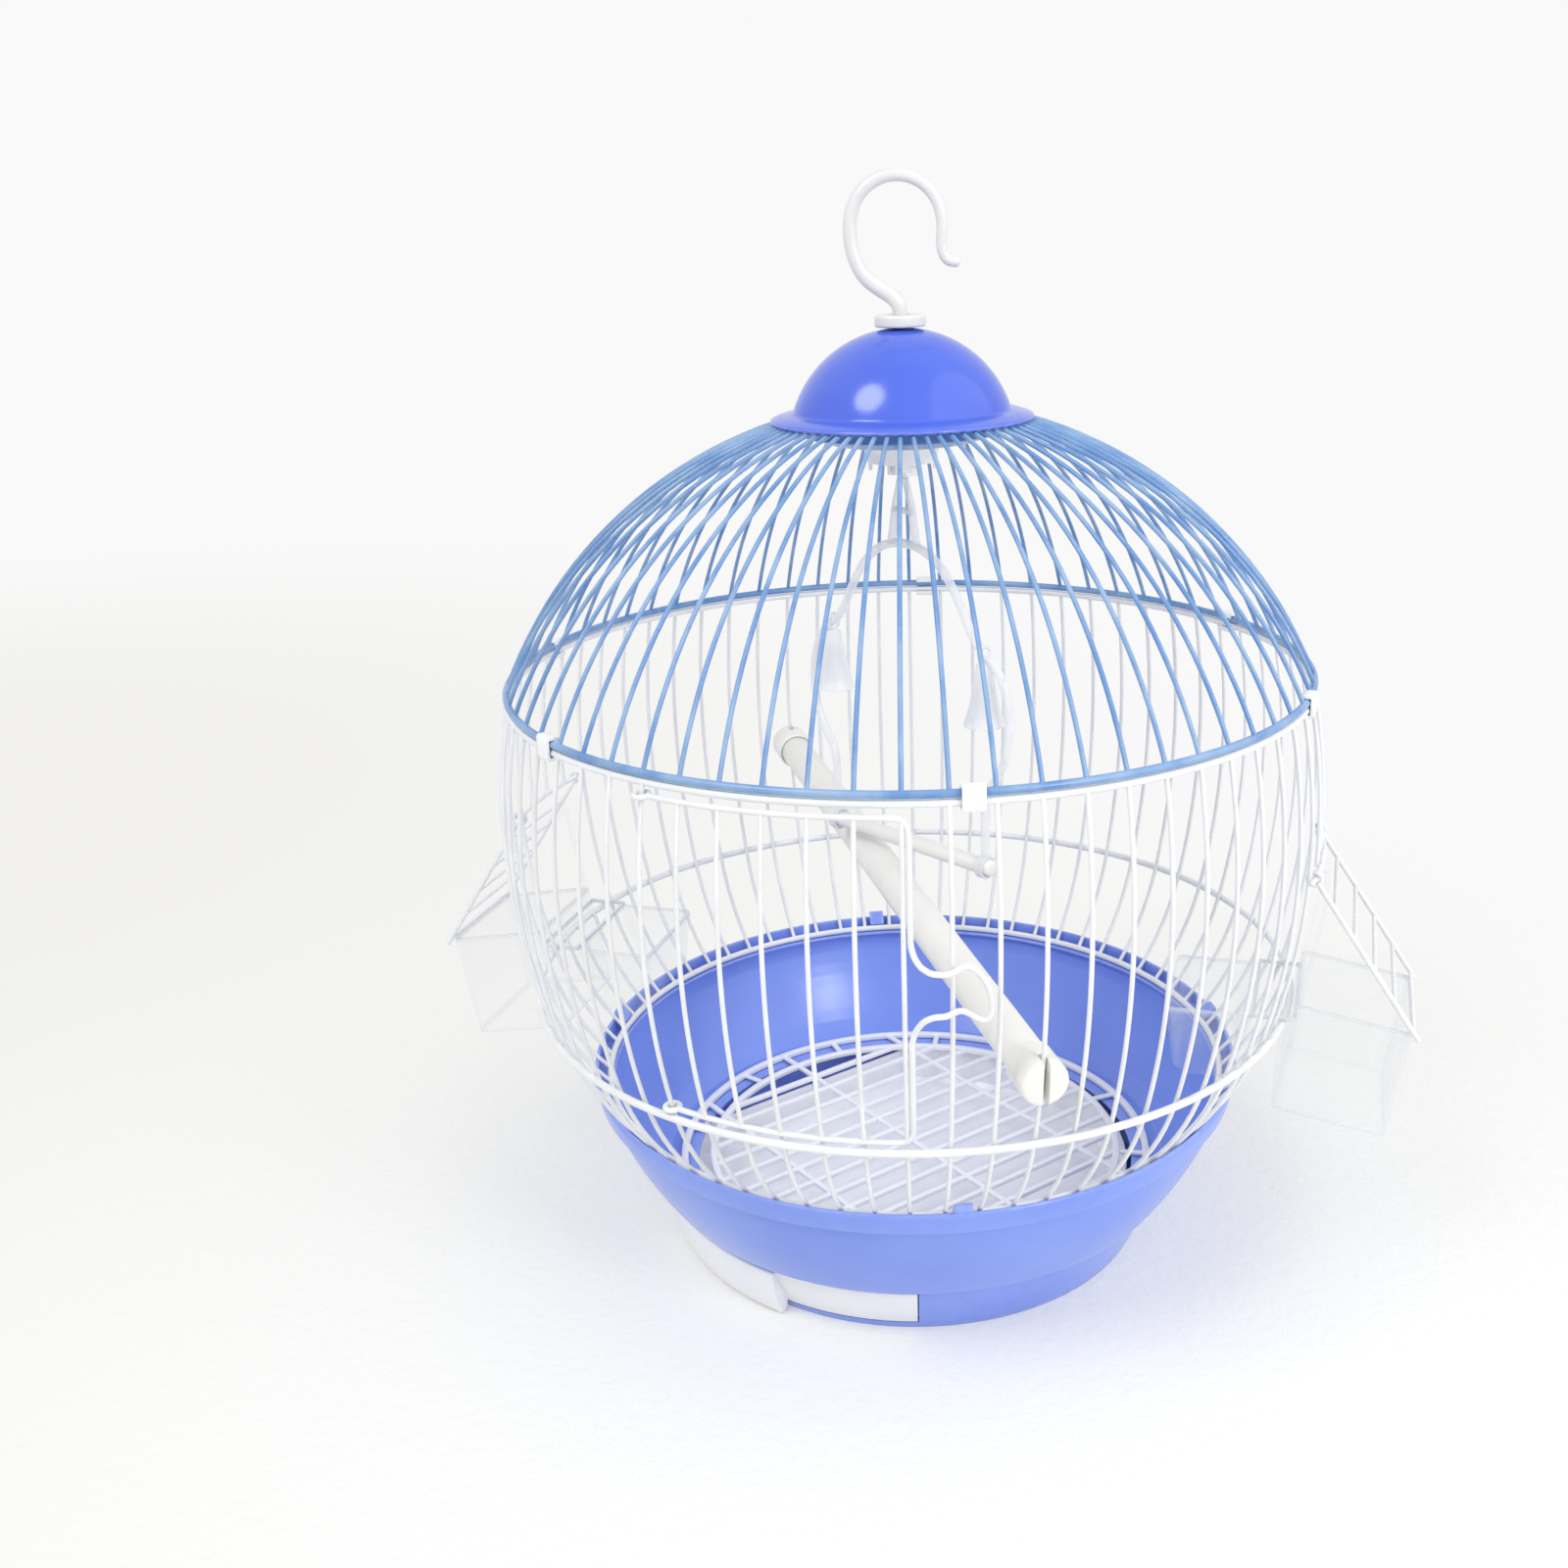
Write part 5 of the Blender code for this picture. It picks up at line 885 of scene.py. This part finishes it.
# the perch tube, and two end caps whose jaws, a half disc each, stand on both sides of a bar
def makePerch():
    near = onBarrel(barAzimuth(perch["nearBar"]), perch["nearHeight"])
    far = onBarrel(barAzimuth(perch["farBar"]), perch["farHeight"])
    start = perch["capLength"] - perch["overhang"] - perch["grip"]
    length = np.linalg.norm(far - near) - 2 * start
    radius = perch["diameter"] / 2
    wall = box((radius - perch["wall"], 0.0), (radius, length), cage["gap"])
    tubePart = laidAlong(carriedRound(wall, 64), near + unit(far - near) * start, far)
    makePiece("perch", [tubePart], plastic["creamPolypropylene"], "cage", ["perch_tube"])
    radius, over, deep = perch["capDiameter"] / 2, perch["overhang"], perch["capLength"] - perch["overhang"]
    bore, gap, floor = perch["diameter"] / 2 + cage["gap"], cage["barWire"] / 2 + cage["gap"], perch["capFloor"]
    body = spun([(radius - 0.0004, floor - 0.0004), (radius, floor), (radius, deep - 0.0004), (radius - 0.0004, deep),
                 (bore, deep), (bore, deep - 0.005)], 64)
    turn = np.linspace(-np.pi / 2, np.pi / 2, 25)
    rows = [(0.80, -over), (0.90, -over + 0.0004), (0.97, -over + 0.0011), (1.0, -over + 0.002), (1.0, floor)]
    for name, bar, towards in (("near", near, far), ("far", far, near)):
        parts = [laidAlong(body, bar, towards)]
        for s in (1, -1):
            x = np.maximum(radius * np.cos(turn), gap)
            jaw = np.stack([np.stack([s * np.maximum(x * scale, gap), s * radius * np.sin(turn) * scale,
                                      np.full(25, height)], -1) for scale, height in rows])
            parts.append(laidAlong(skin(jaw), bar, towards))
        makePiece(f"perch_cap_{name}", parts, plastic["creamPolypropylene"], "cage",
                  [f"perch_end_cap_{name}"])


# the swing's arch, legs, brace, pivot eye and bar holders, then its bar and the two bells
def makeSwing():
    rod = swing["rod"] / 2
    half = np.array(swing["arch"]) * [swing["half"], swing["apex"] - swing["barHeight"]] + [0, swing["barHeight"]]
    line = np.concatenate([half[::-1] * [-1, 1], [(0.0, swing["apex"])], half])
    line = evenly(rounded(line, 0.006, 7, line=True), 200)
    facing = sideways(swing["azimuth"])
    path, radius = withEnds(onSwing(line[:, 0], line[:, 1]), rod)
    parts = [tube(path, radius, facing, 14)]
    for s in (-1, 1):
        leg = evenly([(s * 0.0008, swing["pivot"] - 0.0028), (s * 0.0045, swing["pivot"] - 0.0161),
                      (s * 0.0072, swing["apex"] - 0.0012)], 14)
        parts.append(tube(onSwing(leg[:, 0], leg[:, 1]), np.linspace(swing["legTop"], rod, 14), facing, 14))
    brace = onSwing(np.linspace(-0.0052, 0.0052, 4), swing["pivot"] - swing["brace"])
    parts.append(tube(brace, rod * 0.8, facing, 12))
    eyeHalf, eye, hole = swing["eyeHalf"], swing["eye"], swing["pin"] + cage["gap"]
    ring = box((hole, -eyeHalf), (eye, eyeHalf), 0.0004, 4)
    parts.append(laidAlong(carriedRound(ring, 40), onSwing(0, swing["pivot"]), onSwing(1, swing["pivot"])))
    bore = swing["bar"] / 2 + cage["gap"]
    pad = box((bore, -swing["padHalf"]), (bore + swing["padWall"], swing["padHalf"]), 0.0004, 4)
    for s in (-1, 1):
        centre = onSwing(s * swing["half"], swing["barHeight"])
        parts.append(laidAlong(carriedRound(pad, 40), centre, centre + outward(swing["azimuth"])))
    makePiece("swing_arch", parts, plastic["frostedPolypropylene"], "swing", ["swing_frame"])
    reach, radius = swing["half"] + swing["barOverhang"], swing["bar"] / 2
    line = np.array([(radius, reach - 0.001), (radius - 0.0004, reach - 0.0003), (radius - 0.0012, reach)])
    bar = laidAlong(spun(bothEnds(line), 40), onSwing(0, swing["barHeight"]), onSwing(1, swing["barHeight"]))
    makePiece("swing_bar", [bar], plastic["creamPolypropylene"], "swing", ["swing_perch_bar"])
    for which, s in (("right", 1), ("left", -1)):
        pivot = onSwing(s * swing["bellOffset"], swing["bellPivot"])
        top = -swing["bellEye"] - 0.0002
        foot = top - swing["bellHeight"]
        inner = rounded([(0.0012, top - 0.007), (0.0030, top - 0.008), (0.0046, top - 0.0172),
                         (swing["bell"] - 0.0011, foot)], 0.004, 6, line=True)
        outer = rounded([(swing["bell"], foot), (0.0058, top - 0.017), (0.0042, top - 0.007), (0.0030, top - 0.0006),
                         (0.0012, top)], 0.004, 6, line=True)
        points, faces = spun(np.concatenate([inner, outer]), 48)
        eye = ringOf(pivot, swing["bellEye"], outward(swing["azimuth"]), swing["bellEyeWire"], 28, 8)
        makePiece(f"bell_{which}", [(points + pivot, faces), eye], plastic["frostedPolypropylene"], f"bell_{which}",
                  [f"swing_bell_{which}"])


makeDome()
makeLowerWires()
makeClips()
print("wire cage made")
makeBase()
makeDrawer()
makeGrate()
print("base, drawer and grate made")
makeDoor()
for which, middleBar in cage["feederBars"].items():
    makeFeeder(which, middleBar)
print("door and feeders made")
makeCap()
makeRetainer()
makeHook()
makePerch()
makeSwing()
print("cap, hook, perch and swing made")


studio = {"floorColour": "#F0F0ED", "backColour": "#F9F9F9", "wallShade": "#F1F0EE", "worldLevel": 0.66,
          "floorRadius": 4.0, "grainSize": 0.006, "grainDepth": 0.0008}
# each lamp: place, what it points at, diameter and watts
lamps = {"window": ((-0.94, -0.88, 1.86), (0, 0, 0.34), 0.95, 18.5),
         "sideWindow": ((0.66, -0.80, 0.68), (0, 0, 0.15), 0.34, 3.3),
         "fill": ((1.5, -0.4, 1.1), (0, 0, 0.2), 2.4, 10.7)}


# 1 for what the camera, a gloss and clear plastic see, and 0 for the light that falls on things
def seenPlain(tree):
    seen = addNode(tree, "LightPath")
    either = addNode(tree, "Math", {"operation": "MAXIMUM"}, _0=(seen, "Is Camera Ray"), _1=(seen, "Is Glossy Ray"))
    return addNode(tree, "Math", {"operation": "MAXIMUM"}, _0=(either, "Value"), _1=(seen, "Is Transmission Ray"))


# A matt white painted board with a faint cast grain. Far from the cage it fades into the
# background for the camera, a little greyer behind the cage's left, so that no horizon shows.
def makeFloor():
    material, tree = newMaterial("paintedBoard")
    place = addNode(tree, "TexCoord")
    grain = addNode(tree, "TexNoise", Vector=(place, "Object"), Scale=1 / studio["grainSize"], Detail=3.0,
                    Roughness=0.6)
    bump = addNode(tree, "Bump", Height=(grain, "Fac"), Strength=0.9, Distance=studio["grainDepth"])
    shader = addNode(tree, "BsdfPrincipled", Base_Color=linear(studio["floorColour"]), Roughness=0.8,
                     Normal=(bump, "Normal"))
    away = addNode(tree, "VectorMath", {"operation": "DISTANCE"}, _0=(place, "Object"), _1=(-0.85, 0.55, 0.0))
    lift = addNode(tree, "MapRange", {"interpolation_type": "SMOOTHSTEP"}, Value=(away, "Value"),
                   From_Min=0.15, From_Max=1.25)
    tone = addNode(tree, "Mix", {"data_type": "RGBA"}, _0=(lift, "Result"),
                   _6=linear(studio["wallShade"]), _7=linear(studio["backColour"]))
    glow = addNode(tree, "Emission", Color=(tone, "Result"), Strength=1.0)
    far = addNode(tree, "VectorMath", {"operation": "LENGTH"}, _0=(place, "Object"))
    fade = addNode(tree, "MapRange", {"interpolation_type": "SMOOTHSTEP"}, Value=(far, "Value"),
                   From_Min=0.18, From_Max=0.6, To_Min=0.33, To_Max=1.0)
    share = addNode(tree, "Math", {"operation": "MULTIPLY"}, _0=(fade, "Result"), _1=(seenPlain(tree), "Value"))
    both = addNode(tree, "MixShader", Fac=(share, "Value"), _1=(shader, "BSDF"), _2=(glow, "Emission"))
    addNode(tree, "OutputMaterial", Surface=(both, "Shader"))
    mesh = bpy.data.meshes.new("floor")
    circle = around(np.linspace(0, 360, 96, endpoint=False), studio["floorRadius"], 0.0)
    mesh.from_pydata(circle, [], [list(range(len(circle)))])
    mesh.materials.append(material)
    floor = bpy.data.objects.new("floor", mesh)
    bpy.context.scene.collection.objects.link(floor)


# soft even light from all round, and the plain background for what looks straight at it
def makeWorld():
    world = bpy.data.worlds.new("studio")
    bpy.context.scene.world = world
    world.use_nodes = True
    tree = world.node_tree
    tree.nodes.clear()
    light = addNode(tree, "Background", Color=(1, 1, 1, 1), Strength=studio["worldLevel"])
    back = addNode(tree, "Background", Color=linear(studio["backColour"]), Strength=1.0)
    both = addNode(tree, "MixShader", Fac=(seenPlain(tree), "Value"), _1=(light, "Background"),
                   _2=(back, "Background"))
    addNode(tree, "OutputWorld", Surface=(both, "Shader"))


# a round soft lamp that points at a target
def addLamp(name, place, target, size, power):
    lamp = bpy.data.lights.new(name, "AREA")
    lamp.shape, lamp.size, lamp.energy = "DISK", size, power
    holder = bpy.data.objects.new(name, lamp)
    holder.location = place
    holder.rotation_euler = (Vector(target) - Vector(place)).to_track_quat("-Z", "Y").to_euler()
    bpy.context.scene.collection.objects.link(holder)


# the camera, as fitted to the photo: degrees, and pixels of a square image
view = {"place": (0.0, -0.686, 0.434), "yaw": -2.44, "pitch": -18.74, "roll": -1.74, "focal": 1723, "image": 1600,
        "centre": 857}


# stands and turns the camera, and shifts its lens so that the photo's centre stays where it is
def makeCamera():
    yaw, pitch, roll = np.radians([view["yaw"], view["pitch"], view["roll"]])
    ahead = np.array([np.sin(yaw) * np.cos(pitch), np.cos(yaw) * np.cos(pitch), np.sin(pitch)])
    level = np.array([np.cos(yaw), -np.sin(yaw), 0])
    top = np.cross(level, ahead)
    right, up = level * np.cos(roll) + top * np.sin(roll), top * np.cos(roll) - level * np.sin(roll)
    lens = bpy.data.cameras.new("camera")
    lens.sensor_width = 36
    lens.lens = 36 * view["focal"] / view["image"]
    lens.shift_x = (view["image"] / 2 - view["centre"]) / view["image"]
    lens.clip_start = 0.01
    camera = bpy.data.objects.new("camera", lens)
    turn = np.eye(4)
    turn[:3, 0], turn[:3, 1], turn[:3, 2], turn[:3, 3] = right, up, -ahead, view["place"]
    camera.matrix_world = Matrix(turn.tolist())
    bpy.context.scene.collection.objects.link(camera)
    bpy.context.scene.camera = camera


makeFloor()
makeWorld()
for name, lamp in lamps.items():
    addLamp(name, *lamp)
makeCamera()
bpy.context.scene.view_settings.view_transform = "Standard"
bpy.context.scene.cycles.transparent_max_bounces = 24    # so many walls of the clear cups stand in one line
print("studio ready")
